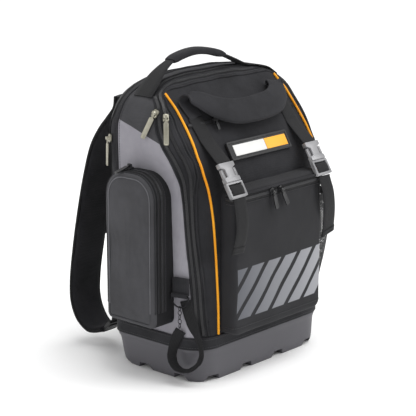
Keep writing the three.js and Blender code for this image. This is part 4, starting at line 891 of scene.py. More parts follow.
# Finer cloth on the edges: a pale line round the pocket's face, which is a painted highlight on its folded
# edge, and piping that is bright and even
EDGE_GREY_WITH_PAINTED_HIGHLIGHT = woven("grey seam edging with a painted highlight", "5a5a5d", "6c6c70", FINE_THREAD)
ORANGE = woven("orange piping cloth", "e08a12", "f9ac2b", FINE_THREAD, 0.6)
# Grosgrain and webbing: black, with ribs that catch the light in rows; in the ribbed webbing that light is
# also painted into the colour as highlight and shade
BINDING_PLAIN = woven("black grosgrain binding", "1a1a1c", "303033", FINE_THREAD)
BINDING = ribbed("black edge binding", "0f0f10", "262628", 1.2, 1.8)
WEB = ribbed("black ribbed webbing", "101011", "29292c")
# Nylon coil, bonded thread and cord: small satin glints along dark rows
COIL = moulded("black nylon zip coil", "1c1c1e", "343437", 0.6, 0.4)
THREAD = moulded("black bonded thread", "202022", "3c3c3f", 0.4, 0.55)
NET = moulded("black netting cord", "121213", "242426", 0.5, 0.7)
# Air mesh: soft black, pitted with holes that are darkened with painted shade
AIR_MESH = spacer_mesh("black spacer mesh")
# Polypropylene: an even grey with the satin grain of the mould
TUB = moulded("grey moulded polypropylene", "4a494e", "5a595e", 0.9, 0.55, 0.12)
# Acetal: smoother, with soft highlights, and a metallic fleck in the grey one
BLACK_PLASTIC = moulded("black acetal", "121214", "1e1e20", 0.5, 0.38, 0.04)
SILVER_PLASTIC = moulded("metallic grey acetal", "838385", "9d9d9f", 0.6, 0.36, 0.03, 0.4)
# Rubber: satin, even and a little dull
RUBBER = moulded("black moulded rubber", "111113", "1d1d1f", 0.5, 0.5, 0.05)
WHITE_RUBBER = moulded("white moulded rubber", "d4d4d2", "e6e6e4", 0.5, 0.45, 0.04)
AMBER_RUBBER = moulded("amber moulded rubber", "f0a51c", "fbb735", 0.5, 0.45, 0.04)
# Metal: a warm shine where it is plated, nearly black where it is oxidised
NICKEL = plated("warm nickel plating", "8b8879", "b9b6a8", 0.42)
BLACK_STEEL = plated("black oxide steel", "1d1d1f", "3a3a3c", 0.38)


class BackpackSizes(bpy.types.PropertyGroup):
    """Sizes of the sewn detail that a maker would change"""

    stitch_pitch: FloatProperty(
        name="Stitch pitch", description="Distance from one lock stitch to the next",
        default=0.0042, unit="LENGTH",
    )
    coil_pitch: FloatProperty(
        name="Coil pitch", description="Distance from one turn of a zip's coil to the next",
        default=0.0017, unit="LENGTH",
    )
    seam_radius: FloatProperty(
        name="Seam radius", description="Radius of the black rolls over the seams of the shell",
        default=0.0016, unit="LENGTH",
    )
    net_cell: FloatProperty(
        name="Net cell", description="Width of one diamond of the side net",
        default=0.0048, unit="LENGTH",
    )


class BackpackColours(bpy.types.PropertyGroup):
    """Colours of the studio that the backpack stands in"""

    floor: FloatVectorProperty(
        name="Floor", description="Colour of the studio floor", subtype="COLOR", size=4,
        default=linear("f6f6f6"),
    )
    sky: FloatVectorProperty(
        name="Surround", description="Colour of the light all round", subtype="COLOR", size=4,
        default=linear("ffffff"),
    )


class BuildStage(bpy.types.Operator):
    """Adds the pale floor, the soft lights and the camera"""

    bl_idname = "backpack.stage"
    bl_label = "Stage"

    def execute(self, context):
        colours = context.scene.backpack_colours
        bm = bmesh.new()
        bmesh.ops.create_circle(bm, cap_ends=True, radius=FLOOR_RADIUS, segments=64)
        mesh = bpy.data.meshes.new("studio_floor")
        bm.to_mesh(mesh)
        bm.free()
        floor = bpy.data.objects.new("studio_floor", mesh)
        context.collection.objects.link(floor)
        paper, tree, bsdf = material("white studio paper", 0.9)
        place = add(tree, "TexCoord", {}).outputs["Object"]
        shade = add(tree, "TexNoise", {"Vector": place, "Scale": per(PAPER_SHADE)}).outputs["Fac"]
        mix = add(tree, "Mix", {0: shade, 6: colours.floor, 7: linear("ffffff")}, data_type="RGBA")
        tree.links.new(mix.outputs[2], bsdf.inputs["Base Color"])
        mesh.materials.append(paper)

        world = bpy.data.worlds.new("studio")
        world.use_nodes = True
        background = world.node_tree.nodes["Background"]
        background.inputs["Color"].default_value = colours.sky
        background.inputs["Strength"].default_value = 0.5
        context.scene.world = world
        context.scene.view_settings.view_transform = "Standard"

        lamps = [  # name, place, power, size
            ("right_softbox", (1.4, -1.7, 1.3), 13, 1.0),
            ("left_softbox", (-2.0, -0.2, 1.1), 7, 1.0),
            ("rear_softbox", (0.0, 1.9, 1.5), 12, 1.2),
        ]
        for name, place, power, size in lamps:
            light = bpy.data.lights.new(name, "AREA")
            light.energy = power
            light.size = size
            lamp = bpy.data.objects.new(name, light)
            lamp.location = place
            lamp.rotation_euler = (Vector((0, 0, 0.25)) - Vector(place)).to_track_quat("-Z", "Y").to_euler()
            context.collection.objects.link(lamp)

        ceiling = bpy.data.lights.new("ceiling_light", "SUN")
        ceiling.energy = 2.2
        ceiling.angle = math.radians(55)
        lamp = bpy.data.objects.new("ceiling_light", ceiling)
        lamp.rotation_euler = (math.radians(14), math.radians(12), 0)
        context.collection.objects.link(lamp)

        view = bpy.data.cameras.new("camera")
        view.sensor_width = 36
        view.lens = LENS
        camera = bpy.data.objects.new("camera", view)
        camera.location = CAMERA_PLACE
        aim = Vector(CAMERA_AIM) - camera.location
        camera.rotation_euler = aim.to_track_quat("-Z", "Y").to_euler()
        context.collection.objects.link(camera)
        context.scene.camera = camera
        return {"FINISHED"}


class BuildTub(bpy.types.Operator):
    """Builds the moulded tub with its tread, and the binding sewn round its rim"""

    bl_idname = "backpack.tub"
    bl_label = "Tub"

    def form(self, inset, low):
        half, front, back, corner, rear, _ = section(TUB_HEIGHT)
        rings = []
        for i in range(25):
            up = i / 24
            shares = [read(TUB_ROWS, up, k) for k in range(1, 5)]
            z = max(up * TUB_HEIGHT, low + i * 0.05) + (TUB_WALL if inset and i == 24 else 0)
            radius = corner * shares[3]
            rings.append(plan_ring(
                z, half * shares[0] - inset, front * shares[1] + inset, back * shares[2] - inset,
                radius - inset, rear + corner - radius - inset,
            ))
        return loft(rings)

    def groove(self, along_x, middle):
        top = TREAD_GAP / 2
        foot = top + TREAD_FLARE
        reach = 2 * BODY_HALF
        shape = [(-foot, -1), (foot, -1), (foot, 0), (top, TREAD_DEPTH), (-top, TREAD_DEPTH), (-foot, 0)]
        ends = []
        for end in (-reach, reach):
            if along_x:
                ends.append([Vector((end, middle + a, up)) for a, up in shape])
            else:
                ends.append([Vector((middle + a, end, up)) for a, up in shape])
        return loft(ends)

    def execute(self, context):
        cutters = [self.form(TUB_WALL, TREAD_DEPTH + TUB_WALL)]
        cutters += [self.groove(False, k * TREAD_PITCH_X) for k in (-1.5, -0.5, 0.5, 1.5)]
        cutters += [self.groove(True, TREAD_MIDDLE_Y + k * TREAD_PITCH_Y) for k in (-0.5, 0.5)]
        tub = combined(self.form(0, 0), cutters, "DIFFERENCE")
        made = piece("tub", tub, TUB, "tub_plastic", ["base_tub"], sharp=30)
        edge = made.modifiers.new("moulded edges", "BEVEL")
        edge.width = 1.4 * MILLIMETRE
        edge.segments = 2
        edge.limit_method = "ANGLE"
        edge.angle_limit = math.radians(35)

        foot = TUB_HEIGHT - TRIM_LAP
        rings = [body_ring(foot + up, out) for out, up in TRIM_PROFILE]
        piece("tub_binding", loft(rings, closed=True), BINDING_PLAIN, "charcoal_polyester", ["base_trim"])
        seams = bmesh.new()
        for up in TRIM_STITCHES:
            points = body_ring(foot + up, 2.55)
            points.append(points[0])
            middle = Vector((0, -5, foot + up))
            path = [(p, Vector((p.x - middle.x, p.y - middle.y, 0)).normalized()) for p in points]
            join(seams, stitches(path))
        piece("tub_binding_stitches", seams, THREAD, "black_webbing")
        return {"FINISHED"}


def seam_wall(rows, depth, shift):
    """Depth of a seam at each of its cutter's levels, in front of the whole body where there is none."""
    levels = [30 + 8 * i for i in range(60)]
    return [(z, shift if rows is None else read(rows, z / BODY_TOP) * depth + shift) for z in levels]


def between(front, rear):
    """Closed block between two seams, wide enough for the whole body."""
    reach = 1.5 * BODY_HALF
    bm = bmesh.new()
    rows = []
    for (z, y), (_, far) in zip(front, rear):
        rows.append([bm.verts.new((-reach, y, z)), bm.verts.new((-reach, far, z))])
    faces = []
    for (a, b), (c, d) in zip(rows, rows[1:]):
        faces.append(bm.faces.new((a, b, d, c)))
    grown = bmesh.ops.extrude_face_region(bm, geom=faces)
    verts = [v for v in grown["geom"] if isinstance(v, bmesh.types.BMVert)]
    bmesh.ops.translate(bm, vec=(2 * reach, 0, 0), verts=verts)
    bmesh.ops.recalc_face_normals(bm, faces=bm.faces)
    return bm


class BuildShell(bpy.types.Operator):
    """Builds the cloth panels of the body, their seam rolls and stitches"""

    bl_idname = "backpack.shell"
    bl_label = "Shell"

    def panel(self, name, cutter, finish, slot, node):
        chunk = combined(BODY.copy(), [cutter], "INTERSECT")
        inner = [f for f in chunk.faces if SKIN.find_nearest(f.calc_center_median())[3] > 0.4]
        bmesh.ops.delete(chunk, geom=inner, context="FACES")
        if len(finish) > 1:
            low, high = TONE_LINE
            normal = (high - low).cross(X)
            normal *= -1 if normal.z < 0 else 1
            bmesh.ops.bisect_plane(
                chunk, geom=[*chunk.verts, *chunk.edges, *chunk.faces], plane_co=low, plane_no=normal,
            )
            for face in chunk.faces:
                face.material_index = int((face.calc_center_median() - low).dot(normal) > 0)
        made = piece(name, chunk, finish, slot, [node], sharp=50)
        wall = made.modifiers.new("cloth", "SOLIDIFY")
        wall.thickness = CLOTH * MILLIMETRE
        wall.offset = -1

    def execute(self, context):
        ahead = seam_wall(None, 0, -1.5 * FRONT_DEPTH)
        behind = seam_wall(None, 0, 1.5 * BACK_DEPTH)
        front = seam_wall(ZIP_FRONT, FRONT_DEPTH, -GAP / 2)
        front_grown = seam_wall(ZIP_FRONT, FRONT_DEPTH, GAP / 2)
        rear = seam_wall(ZIP_REAR, FRONT_DEPTH, -GAP / 2)
        rear_grown = seam_wall(ZIP_REAR, FRONT_DEPTH, GAP / 2)
        back = seam_wall(BACK_SEAM, BACK_DEPTH, -GAP / 2)
        back_grown = seam_wall(BACK_SEAM, BACK_DEPTH, GAP / 2)
        panels = [  # name, seams before and behind it, finishes, slot, node
            ("front_shell", ahead, front, [CHARCOAL], "charcoal_polyester", "front_compartment"),
            ("zip_band", front_grown, rear, [BINDING_PLAIN], "black_webbing", "front_zip_tape"),
            ("main_shell", rear_grown, back, [LIGHT_GREY, DARK_GREY], "grey_polyester", "main_compartment"),
            ("back_shell", back_grown, behind, [CHARCOAL], "charcoal_polyester", "back_compartment"),
        ]
        for name, before, after, finish, slot, node in panels:
            self.panel(name, between(before, after), finish, slot, node)

        radius = settings().seam_radius / MILLIMETRE
        for name, rows, depth in (
            ("front_seam", ZIP_FRONT, FRONT_DEPTH), ("rear_seam", ZIP_REAR, FRONT_DEPTH),
            ("back_seam", BACK_SEAM, BACK_DEPTH),
        ):
            path = [at for at, _ in seam_path(rows, depth, 0.4)]
            piece(name, roll(path, radius), BINDING_PLAIN, "black_webbing")
        thread = bmesh.new()
        for rows, depth, shift in (
            (ZIP_FRONT, FRONT_DEPTH, -4.5), (ZIP_REAR, FRONT_DEPTH, 4.5),
            (BACK_SEAM, BACK_DEPTH, -4.5), (BACK_SEAM, BACK_DEPTH, 4.5),
        ):
            join(thread, stitches(seam_path(rows, depth, 0.1, shift=shift)))
        piece("shell_stitches", thread, THREAD, "black_webbing")
        return {"FINISHED"}


class BuildPiping(bpy.types.Operator):
    """Builds the orange piping up the two front edges"""

    bl_idname = "backpack.piping"
    bl_label = "Piping"

    def execute(self, context):
        for hand, side in (("left", -1), ("right", 1)):
            rows = [on_front(side * x * BODY_HALF, up * BODY_TOP, 1.6)[0] for up, x in PIPING_ROWS]
            path = curve(rows, 90)
            piece(f"orange_piping_{hand}", roll(path, PIPING_RADIUS, 12), ORANGE, "orange_piping",
                  [f"piping_{hand}"])
        return {"FINISHED"}


class BuildZipTracks(bpy.types.Operator):
    """Builds the zip tapes and coils over the body"""

    bl_idname = "backpack.zip_tracks"
    bl_label = "Zip tracks"

    def execute(self, context):
        coil = bmesh.new()
        tapes = bmesh.new()
        for share in ZIP_PLACES:
            rows = []
            for i in range(46):
                up = 0.1 + i * 0.02
                rows.append((up, read(ZIP_FRONT, up) * (1 - share) + read(ZIP_REAR, up) * share))
            path = seam_path(rows, FRONT_DEPTH, 0.3, low=80)
            join(coil, zip_teeth(path, 4.2))
            join(tapes, tape(path, 6.4, 0.7, 0.1))
        path = seam_path(BACK_ZIP, BACK_DEPTH, 0.3, low=80)
        join(coil, zip_teeth(path, 4.2))
        join(tapes, tape(path, 12, 0.7, 0.1))
        piece("body_zip_coils", coil, COIL, "black_webbing")
        piece("body_zip_tapes", tapes, BINDING, "black_webbing")

        slot = [on_front(SLOT_HALF * (i / 30 - 1), SLOT_Z, 0.5) for i in range(61)]
        strip = tape(slot, SLOT_WIDTH, 1.2, 0.3)
        piece("slot_tape", strip, BINDING, "black_webbing", ["slot_zip"])
        teeth = zip_teeth([(at + out * 0.9, out) for at, out in slot], 3.6)
        piece("slot_coil", teeth, COIL, "black_webbing")
        return {"FINISHED"}


class BuildSidePocket(bpy.types.Operator):
    """Builds the box pocket on the left side with its zip gusset"""

    bl_idname = "backpack.side_pocket"
    bl_label = "Side pocket"

    def shape(self, inset):
        return outline(BOX_WIDTH / 2, BOX_BOTTOM, BOX_TOP, BOX_FOOT_CORNER, BOX_CORNER, inset)

    def place(self, across, up, depth):
        y = BOX_CENTRE_Y - across
        skin = -on_side(y, up)[0].x + 0.3
        return Vector((-max(depth, skin), y, up))

    def execute(self, context):
        bm = soft_box(self.shape, self.place, BOX_LEVELS, 2.4, BOX_WIDTH / 2)
        for face in bm.faces:
            face.material_index = int(face.calc_center_median().x > -BOX_FACE)
        crumple(bm, 1.6, 46, 2.0, lambda co: 1.0 if co.x < -203 else 0.3)
        cloths = [DARK_GREY, SHADOW_CHARCOAL]
        made = piece("side_pocket_shell", bm, cloths, "grey_polyester", ["side_pocket"])

        def track(depth, inset=0.0, lift=0.2):
            """Path round the pocket's outline at a depth, open along its foot."""
            path = [Vector((-depth, BOX_CENTRE_Y - p.x, p.y)) for p in self.shape(inset)]
            found = []
            for k, at in enumerate(path):
                along = path[(k + 1) % len(path)] - path[k - 1]
                out = along.cross(X).normalized()
                middle = Vector((at.x, BOX_CENTRE_Y, (BOX_BOTTOM + BOX_TOP) / 2))
                if out.dot(at - middle) < 0:
                    out = -out
                found.append((at + out * lift, out))
            start = min(range(len(found)), key=lambda k: (found[k][0].z, found[k][0].y))
            turned = found[start:] + found[:start]
            return [pair for pair in turned if pair[0].z > BOX_BOTTOM + BOX_FOOT_CORNER]

        line = track(BOX_TAPE_X)
        strip = tape(line, 15, 1, 0.4)
        piece("side_pocket_tape", strip, BINDING, "black_webbing", ["side_pocket_zip"])
        teeth = zip_teeth([(at + out * 0.9, out) for at, out in line], 4.6)
        piece("side_pocket_coil", teeth, COIL, "black_webbing")
        rims = bmesh.new()
        for depth, inset in BOX_RIMS:
            join(rims, roll([at for at, _ in track(depth, inset, 0.3)], 1.3))
        piece("side_pocket_rims", rims, BINDING_PLAIN, "black_webbing")
        # The pale grey of this roll is a painted highlight along the fold of the pocket's face.
        seam = roll([at for at, _ in track(206.3, 8, 0)], 0.9)
        piece("side_pocket_seam_painted_highlight", seam, EDGE_GREY_WITH_PAINTED_HIGHLIGHT, "grey_polyester")
        piece("side_pocket_stitches", stitches(track(179, 0, 0.1)), THREAD, "black_webbing")
        return {"FINISHED"}


class BuildFrontPocket(bpy.types.Operator):
    """Builds the front pocket with its print, its lid lip and its zip"""

    bl_idname = "backpack.front_pocket"
    bl_label = "Front pocket"

    def shape(self, inset):
        low, high = POUCH_BOTTOM, POUCH_TOP
        return outline(POUCH_HALF, low, high, POUCH_CORNER, POUCH_CORNER, inset, side=30, flat=24)

    def place(self, across, up, depth):
        skin = -on_front(across, up)[0].y + 0.3
        return Vector((across, -max(depth, skin), up))

    def execute(self, context):
        bm = soft_box(self.shape, self.place, POUCH_LEVELS, 1.6, POUCH_HALF)
        crumple(bm, 2.2, 60, 4.0, lambda co: 1.0 if co.y < -126 else 0.3)
        made = piece("front_pocket_shell", bm, PRINT_WITH_PAINTED_SHADE, "charcoal_polyester", ["front_pocket"])

        def around(z, lift):
            """Level path over the left side, the face and the right side of the pocket."""
            half = POUCH_HALF + lift
            depth = POUCH_DEPTH + lift
            path = [(Vector((-half, -112 - 2 * i, z)), -X) for i in range(6)]
            for i in range(9):
                a = math.pi / 2 * i / 8
                corner = Vector((-half + POUCH_EDGE, -depth + POUCH_EDGE, z))
                out = Vector((-math.cos(a), -math.sin(a), 0))
                path.append((corner + out * POUCH_EDGE, out))
            for i in range(1, 24):
                x = (half - POUCH_EDGE) * (i / 12 - 1)
                path.append((Vector((x, -depth - 0.8, z)), -Y))
            mirrored = [(Vector((-at.x, at.y, at.z)), Vector((-out.x, out.y, 0))) for at, out in path[:15]]
            return path + mirrored[::-1]

        line = around(POUCH_ZIP_Z, 0.4)
        strip = tape(line, 10, 1, 0.3)
        piece("front_pocket_tape", strip, BINDING, "black_webbing", ["front_pocket_zip"])
        teeth = zip_teeth([(at + out * 0.8, out) for at, out in line], 4.4)
        piece("front_pocket_coil", teeth, COIL, "black_webbing")
        lip = around(POUCH_ZIP_Z + 7.4, 0.6)
        piece("front_pocket_lip", roll([at for at, _ in lip], 2.2), CHARCOAL, "charcoal_polyester")
        thread = stitches(around(POUCH_ZIP_Z - 8, 0.3))
        join(thread, stitches(around(90, 0.3)))
        piece("front_pocket_stitches", thread, THREAD, "black_webbing")
        return {"FINISHED"}


class BuildNetPocket(bpy.types.Operator):
    """Builds the diamond net pocket on the right side with its binding"""

    bl_idname = "backpack.net_pocket"
    bl_label = "Net pocket"

    def plan(self, share, z, out, grow=0.0):
        """Point of the net's plan at a share of the way round from its front edge to its back edge."""
        middle = (NET_FRONT + NET_BACK) / 2
        reach = (NET_BACK - NET_FRONT) / 2 + grow
        a = math.pi * share
        across = -math.copysign(abs(math.cos(a)) ** NET_SQUARE, math.cos(a))
        y = middle + reach * across
        base = on_side(min(max(y, NET_FRONT + 1), NET_BACK), z, 0, side=1)[0].x
        return Vector((base + (NET_REACH * out + grow) * math.sin(a) ** NET_SQUARE, y, z))

    def execute(self, context):
        cell = settings().net_cell / MILLIMETRE
        height = NET_TOP - NET_BOTTOM
        columns, rows = round(NET_AROUND / cell), round(height / cell)
        bm = bmesh.new()
        bmesh.ops.create_grid(bm, x_segments=columns, y_segments=rows, size=0.5)
        old = list(bm.edges)
        bmesh.ops.poke(bm, faces=bm.faces)
        inner = [e for e in old if e.is_valid and len(e.link_faces) == 2]
        bmesh.ops.dissolve_edges(bm, edges=inner)
        even = self.even_shares()
        for vert in bm.verts:
            up = vert.co.y + 0.5
            share = even(vert.co.x + 0.5)
            z = NET_BOTTOM + up * height
            vert.co = self.plan(share, z, read(NET_BULGE, up))
        bmesh.ops.wireframe(
            bm, faces=bm.faces, thickness=NET_CORD, offset=0, use_replace=True, use_boundary=True,
            use_even_offset=False,
        )
        piece("net", bm, NET, "black_mesh", ["net_pocket"], sharp=80)

        rim, out = NET_TOP + NET_BINDING / 2, NET_BULGE[-1][1]
        top = [self.plan(even(i / 48), rim, out, 0.5) for i in range(49)]
        sides = [Z] * len(top)
        band = sweep(top, sides, lambda k: webbing_shape(NET_BINDING, 2.4))
        piece("net_binding", band, BINDING, "black_webbing", ["net_pocket_binding"])
        for name, share in (("front", 0.004), ("back", 0.996)):
            edge = []
            for i in range(33):
                z = NET_BOTTOM + height * i / 32
                edge.append(self.plan(share, z, read(NET_BULGE, i / 32)))
            piece(f"net_edge_{name}", roll(edge, 1.6), BINDING_PLAIN, "black_webbing")
        return {"FINISHED"}

    def even_shares(self):
        """A function from a share of the plan's length to the share that plan() takes."""
        steps = 200
        points = [self.plan(i / steps, NET_TOP - 40, 1) for i in range(steps + 1)]
        lengths = [0.0]
        for a, b in zip(points, points[1:]):
            lengths.append(lengths[-1] + (b - a).length)
        total = lengths[-1]

        def share(length):
            want = min(max(length, 0), 1) * total
            k = next((i for i in range(1, steps) if lengths[i] >= want), steps)
            part = (want - lengths[k - 1]) / max(lengths[k] - lengths[k - 1], 1e-9)
            return (k - 1 + part) / steps

        return share


class BuildBadge(bpy.types.Operator):
    """Builds the blank badge with its two colour blocks"""

    bl_idname = "backpack.badge"
    bl_label = "Badge"

    def execute(self, context):
        piece("badge_plate", round_edges(node_mesh("badge"), 0.7, 3), RUBBER, "badge_rubber", ["badge"])
        plate = node_mesh("badge")
        normal = max(plate.faces, key=lambda f: f.calc_area() * (f.normal.y < -0.2)).normal.copy()
        middle = sum((v.co for v in plate.verts), Vector()) / len(plate.verts)
        middle.x = 0
        face = max((v.co - middle).dot(normal) for v in plate.verts)
        plate.free()
        up = X.cross(normal)
        up = -up if up.z < 0 else up
        basis = Matrix((X, up, normal)).transposed().to_4x4()
        for tone, finish in (("white", WHITE_RUBBER), ("amber", AMBER_RUBBER)):
            start, end = BADGE_BLOCKS[tone]
            bm = bmesh.new()
            spot = middle + normal * (face - BLOCK_SUNK) + X * (start + end) / 2
            size = Matrix.Diagonal((end - start, BLOCK_HEIGHT, BLOCK_THICK, 1))
            bmesh.ops.create_cube(bm, size=1, matrix=Matrix.Translation(spot) @ basis @ size)
            round_edges(bm, 0.5, 3)
            piece(f"badge_{tone}_block", bm, finish, "badge_rubber")
        return {"FINISHED"}


def buckle_place(side, down, out=0.0):
    """Point and axes of a lash buckle, a distance down it from its top edge."""
    lean = Vector((0, -math.sin(BUCKLE_LEAN), -math.cos(BUCKLE_LEAN)))
    off = lean.cross(X)
    at = Vector((side * LASH_X, -BUCKLE_FRONT, BUCKLE_TOP)) + lean * down + off * out
    return at, lean, off


class BuildLashStraps(bpy.types.Operator):
    """Builds the lash straps, their hanging tails and the side-release buckles"""

    bl_idname = "backpack.lash_straps"
    bl_label = "Lash straps"

    def tail(self, hand, side):
        start = buckle_place(side, SOCKET_LENGTH + FRAME_LENGTH + 2 * GAP + 1)[0]
        lead = start + Vector((0, -0.5, -4))
        length = TAIL_LENGTH[hand]
        points = [start]
        for down, x, out in TAIL_ROWS[hand]:
            points.append(lead + Vector((side * x * LASH_X, -out * length, -down * length)))
        path = curve(points, 40)
        bm = sweep(path, [X] * 41, lambda k: webbing_shape(LASH_WIDTH - 2, WEBBING))
        down = (path[-1] - path[-3]).normalized()
        hem = [path[-1] + down * (HEM_LENGTH * i / 8 - 0.5) for i in range(9)]
        full = [0.6, 0.9, 1, 0.86, 0.8, 0.86, 1, 0.9, 0.6]
        join(bm, sweep(hem, [X] * 9, lambda k: webbing_shape(LASH_WIDTH, HEM_THICK * full[k])))
        return bm

    def execute(self, context):
        for hand, side in (("left", -1), ("right", 1)):
            path = [on_front(side * LASH_X, LASH_TOP + 16 - 5 * i, 1.6)[0] for i in range(7)]
            path.append(buckle_place(side, -GAP)[0])
            path = curve(path, 40)
            strap = sweep(path, [X] * 41, lambda k: webbing_shape(LASH_WIDTH, WEBBING))
            piece(f"lash_webbing_{hand}", strap, WEB, "black_webbing", [f"lash_strap_{hand}"])
            piece(f"lash_end_{hand}", self.tail(hand, side), WEB, "black_webbing", [f"lash_tail_{hand}"])
            for part in ("socket", "frame"):
                bm = round_edges(node_mesh(f"buckle_{part}_{hand}"), 0.8, 3)
                piece(f"{part}_{hand}", bm, SILVER_PLASTIC, "silver_plastic", [f"buckle_{part}_{hand}"])
            over = [buckle_place(side, down, out)[0] for down, out in LASH_FOLD]
            bar = sweep(curve(over, 20), [X] * 21, lambda k: webbing_shape(LASH_WIDTH - 2, WEBBING))
            piece(f"lash_fold_{hand}", bar, WEB, "black_webbing")
        return {"FINISHED"}


class BuildHandles(bpy.types.Operator):
    """Builds the carry handle with its grip and the folded front handle"""

    bl_idname = "backpack.handles"
    bl_label = "Handles"

    def execute(self, context):
        anchor = on_crown(HANDLE_SPAN, HANDLE_Y)[0].z
        points = []
        for x, up, _ in HANDLE_ROWS:
            skin = on_crown(x * HANDLE_SPAN, HANDLE_Y)[0].z + 1.2
            rise = anchor + (HANDLE_RISE - anchor) * up
            points.append(Vector((x * HANDLE_SPAN, HANDLE_Y, max(rise, skin))))
        steps = 80
        path = curve(points, steps)

        def folded(k):
            """The webbing narrows to a bundle of several layers towards the grip."""
            wide = blend(HANDLE_ROWS, k / steps, 2)
            return webbing_shape(HANDLE_WIDTH * wide, 2.2 + 3.2 * (1 - wide))

        strap = sweep(path, [Y] * (steps + 1), folded)
        piece("carry_webbing", strap, WEB, "black_webbing", ["top_handle"])

        low, high = round(GRIP_FROM * steps), round(GRIP_TO * steps)
        held = path[low:high + 1]
        last = len(held) - 1

        def sleeve(k):
            end = min(k, last - k)
            full = 0.62 if end == 0 else 0.86 if end == 1 else 1
            return padded_shape(GRIP_WIDTH, GRIP_THICK * full)

        grip = piece("carry_grip", sweep(held, [Y] * len(held), sleeve), CHARCOAL, "black_webbing",
                     ["top_handle_grip"])
        self.fold()
        return {"FINISHED"}

    def fold(self):
        _, normal = on_front(0, 0.857 * BODY_TOP)
        up_slope = normal.cross(X).normalized()
        up_slope = -up_slope if up_slope.z < 0 else up_slope
        rows = []
        for x, up, lift, *_ in FOLD_ROWS:
            rows.append(on_front(x * LASH_X, up * BODY_TOP, lift + 0.6)[0])
        steps = 72
        path = curve(rows, steps)
        sides = []
        for i in range(steps + 1):
            turn = math.radians(blend(FOLD_ROWS, i / steps, 3))
            sides.append(X * math.cos(turn) + up_slope * math.sin(turn))

        def shape(k):
            wide = blend(FOLD_ROWS, k / steps, 4)
            thick = blend(FOLD_ROWS, k / steps, 5)
            return padded_shape(FOLD_WIDTH * wide, FOLD_THICK * thick)

        bm = crumple(sweep(path, sides, shape), 1.2, 24, 1.0)
        made = piece("fold_handle", bm, CHARCOAL, "charcoal_polyester", ["front_handle"])
        edges = bmesh.new()
        for hand in (-1, 1):
            line = []
            for k, at in enumerate(path):
                along = (path[min(k + 1, steps)] - path[max(k - 1, 0)]).normalized()
                across = (sides[k] - along * sides[k].dot(along)).normalized()
                half = FOLD_WIDTH * blend(FOLD_ROWS, k / steps, 4) / 2
                line.append(at + across * hand * (half - 0.6))
            join(edges, roll(line, 1.4))
        piece("fold_handle_edges", edges, BINDING_PLAIN, "charcoal_polyester")


class BuildZipPulls(bpy.types.Operator):
    """Builds the zip sliders and the pulls that swing on them"""

    bl_idname = "backpack.zip_pulls"
    bl_label = "Zip pulls"

    def execute(self, context):
        pairs = [  # node stem, hand, body, finish, slot
            ("main_zip", "", "main_zip_tag", NICKEL, "nickel"),
            ("front_zip", "", "front_zip_tag", NICKEL, "nickel"),
            ("back_zip", "", "back_zip_tag", NICKEL, "nickel"),
            ("side_pocket", "", "side_pocket_tag", BLACK_PLASTIC, "black_plastic"),
            ("pouch", "_left", "pouch_tag_left", BLACK_PLASTIC, "black_plastic"),
            ("pouch", "_right", "pouch_tag_right", BLACK_PLASTIC, "black_plastic"),
            ("slot", "", "slot_tag", BLACK_PLASTIC, "black_plastic"),
        ]
        for stem, hand, body, finish, slot in pairs:
            slider = round_edges(node_mesh(f"{stem}_slider{hand}"), 0.35, 2)
            piece(f"{stem}_runner{hand}", slider, finish, slot, [f"{stem}_slider{hand}"])
            tag = node_mesh(f"{stem}_pull{hand}")
            widest = sorted(tag.faces, key=lambda f: f.calc_area())[-2:]
            bmesh.ops.inset_individual(tag, faces=widest, thickness=1.1, depth=0)
            bmesh.ops.inset_individual(tag, faces=widest, thickness=0.3, depth=-0.35)
            round_edges(tag, 0.25, 2)
            piece(f"{stem}_tag{hand}", tag, finish, slot, [f"{stem}_pull{hand}"], body=body)
        return {"FINISHED"}


class BuildTapeChain(bpy.types.Operator):
    """Builds the ring, its tab, the chain and the webbing loop on the left side"""

    bl_idname = "backpack.tape_chain"
    bl_label = "Tape chain"

    def execute(self, context):
        tab = round_edges(node_mesh("ring_tab"), 0.6, 2)
        piece("ring_webbing", tab, BINDING_PLAIN, "black_webbing", ["ring_tab"])
        for name, node in (("ring_wire", "d_ring"), ("chain_links", "tape_chain")):
            made = piece(name, node_mesh(node), BLACK_STEEL, "black_steel", [node], sharp=80)
            smooth = made.modifiers.new("round wire", "SUBSURF")
            smooth.levels = smooth.render_levels = 1
        seats = []
        for y, z, out, _ in LOOP_ROWS:
            at, normal = on_side(RING_Y + y, max(z, 64), out)
            seats.append((Vector((at.x, at.y, z)), normal))
        steps = 72
        path = curve([at for at, _ in seats], steps)
        sides = []
        for i in range(steps + 1):
            turn = math.radians(blend(LOOP_ROWS, i / steps, 3))
            normal = seats[round(i / steps * (len(seats) - 1))][1]
            tangent = normal.cross(Z).normalized()
            sides.append(tangent * math.cos(turn) + normal * math.sin(turn))
        loop = sweep(path, sides, lambda k: webbing_shape(LOOP_WIDTH, LOOP_THICK))
        piece("loop_webbing", loop, WEB, "black_webbing", ["tape_loop"])
        return {"FINISHED"}


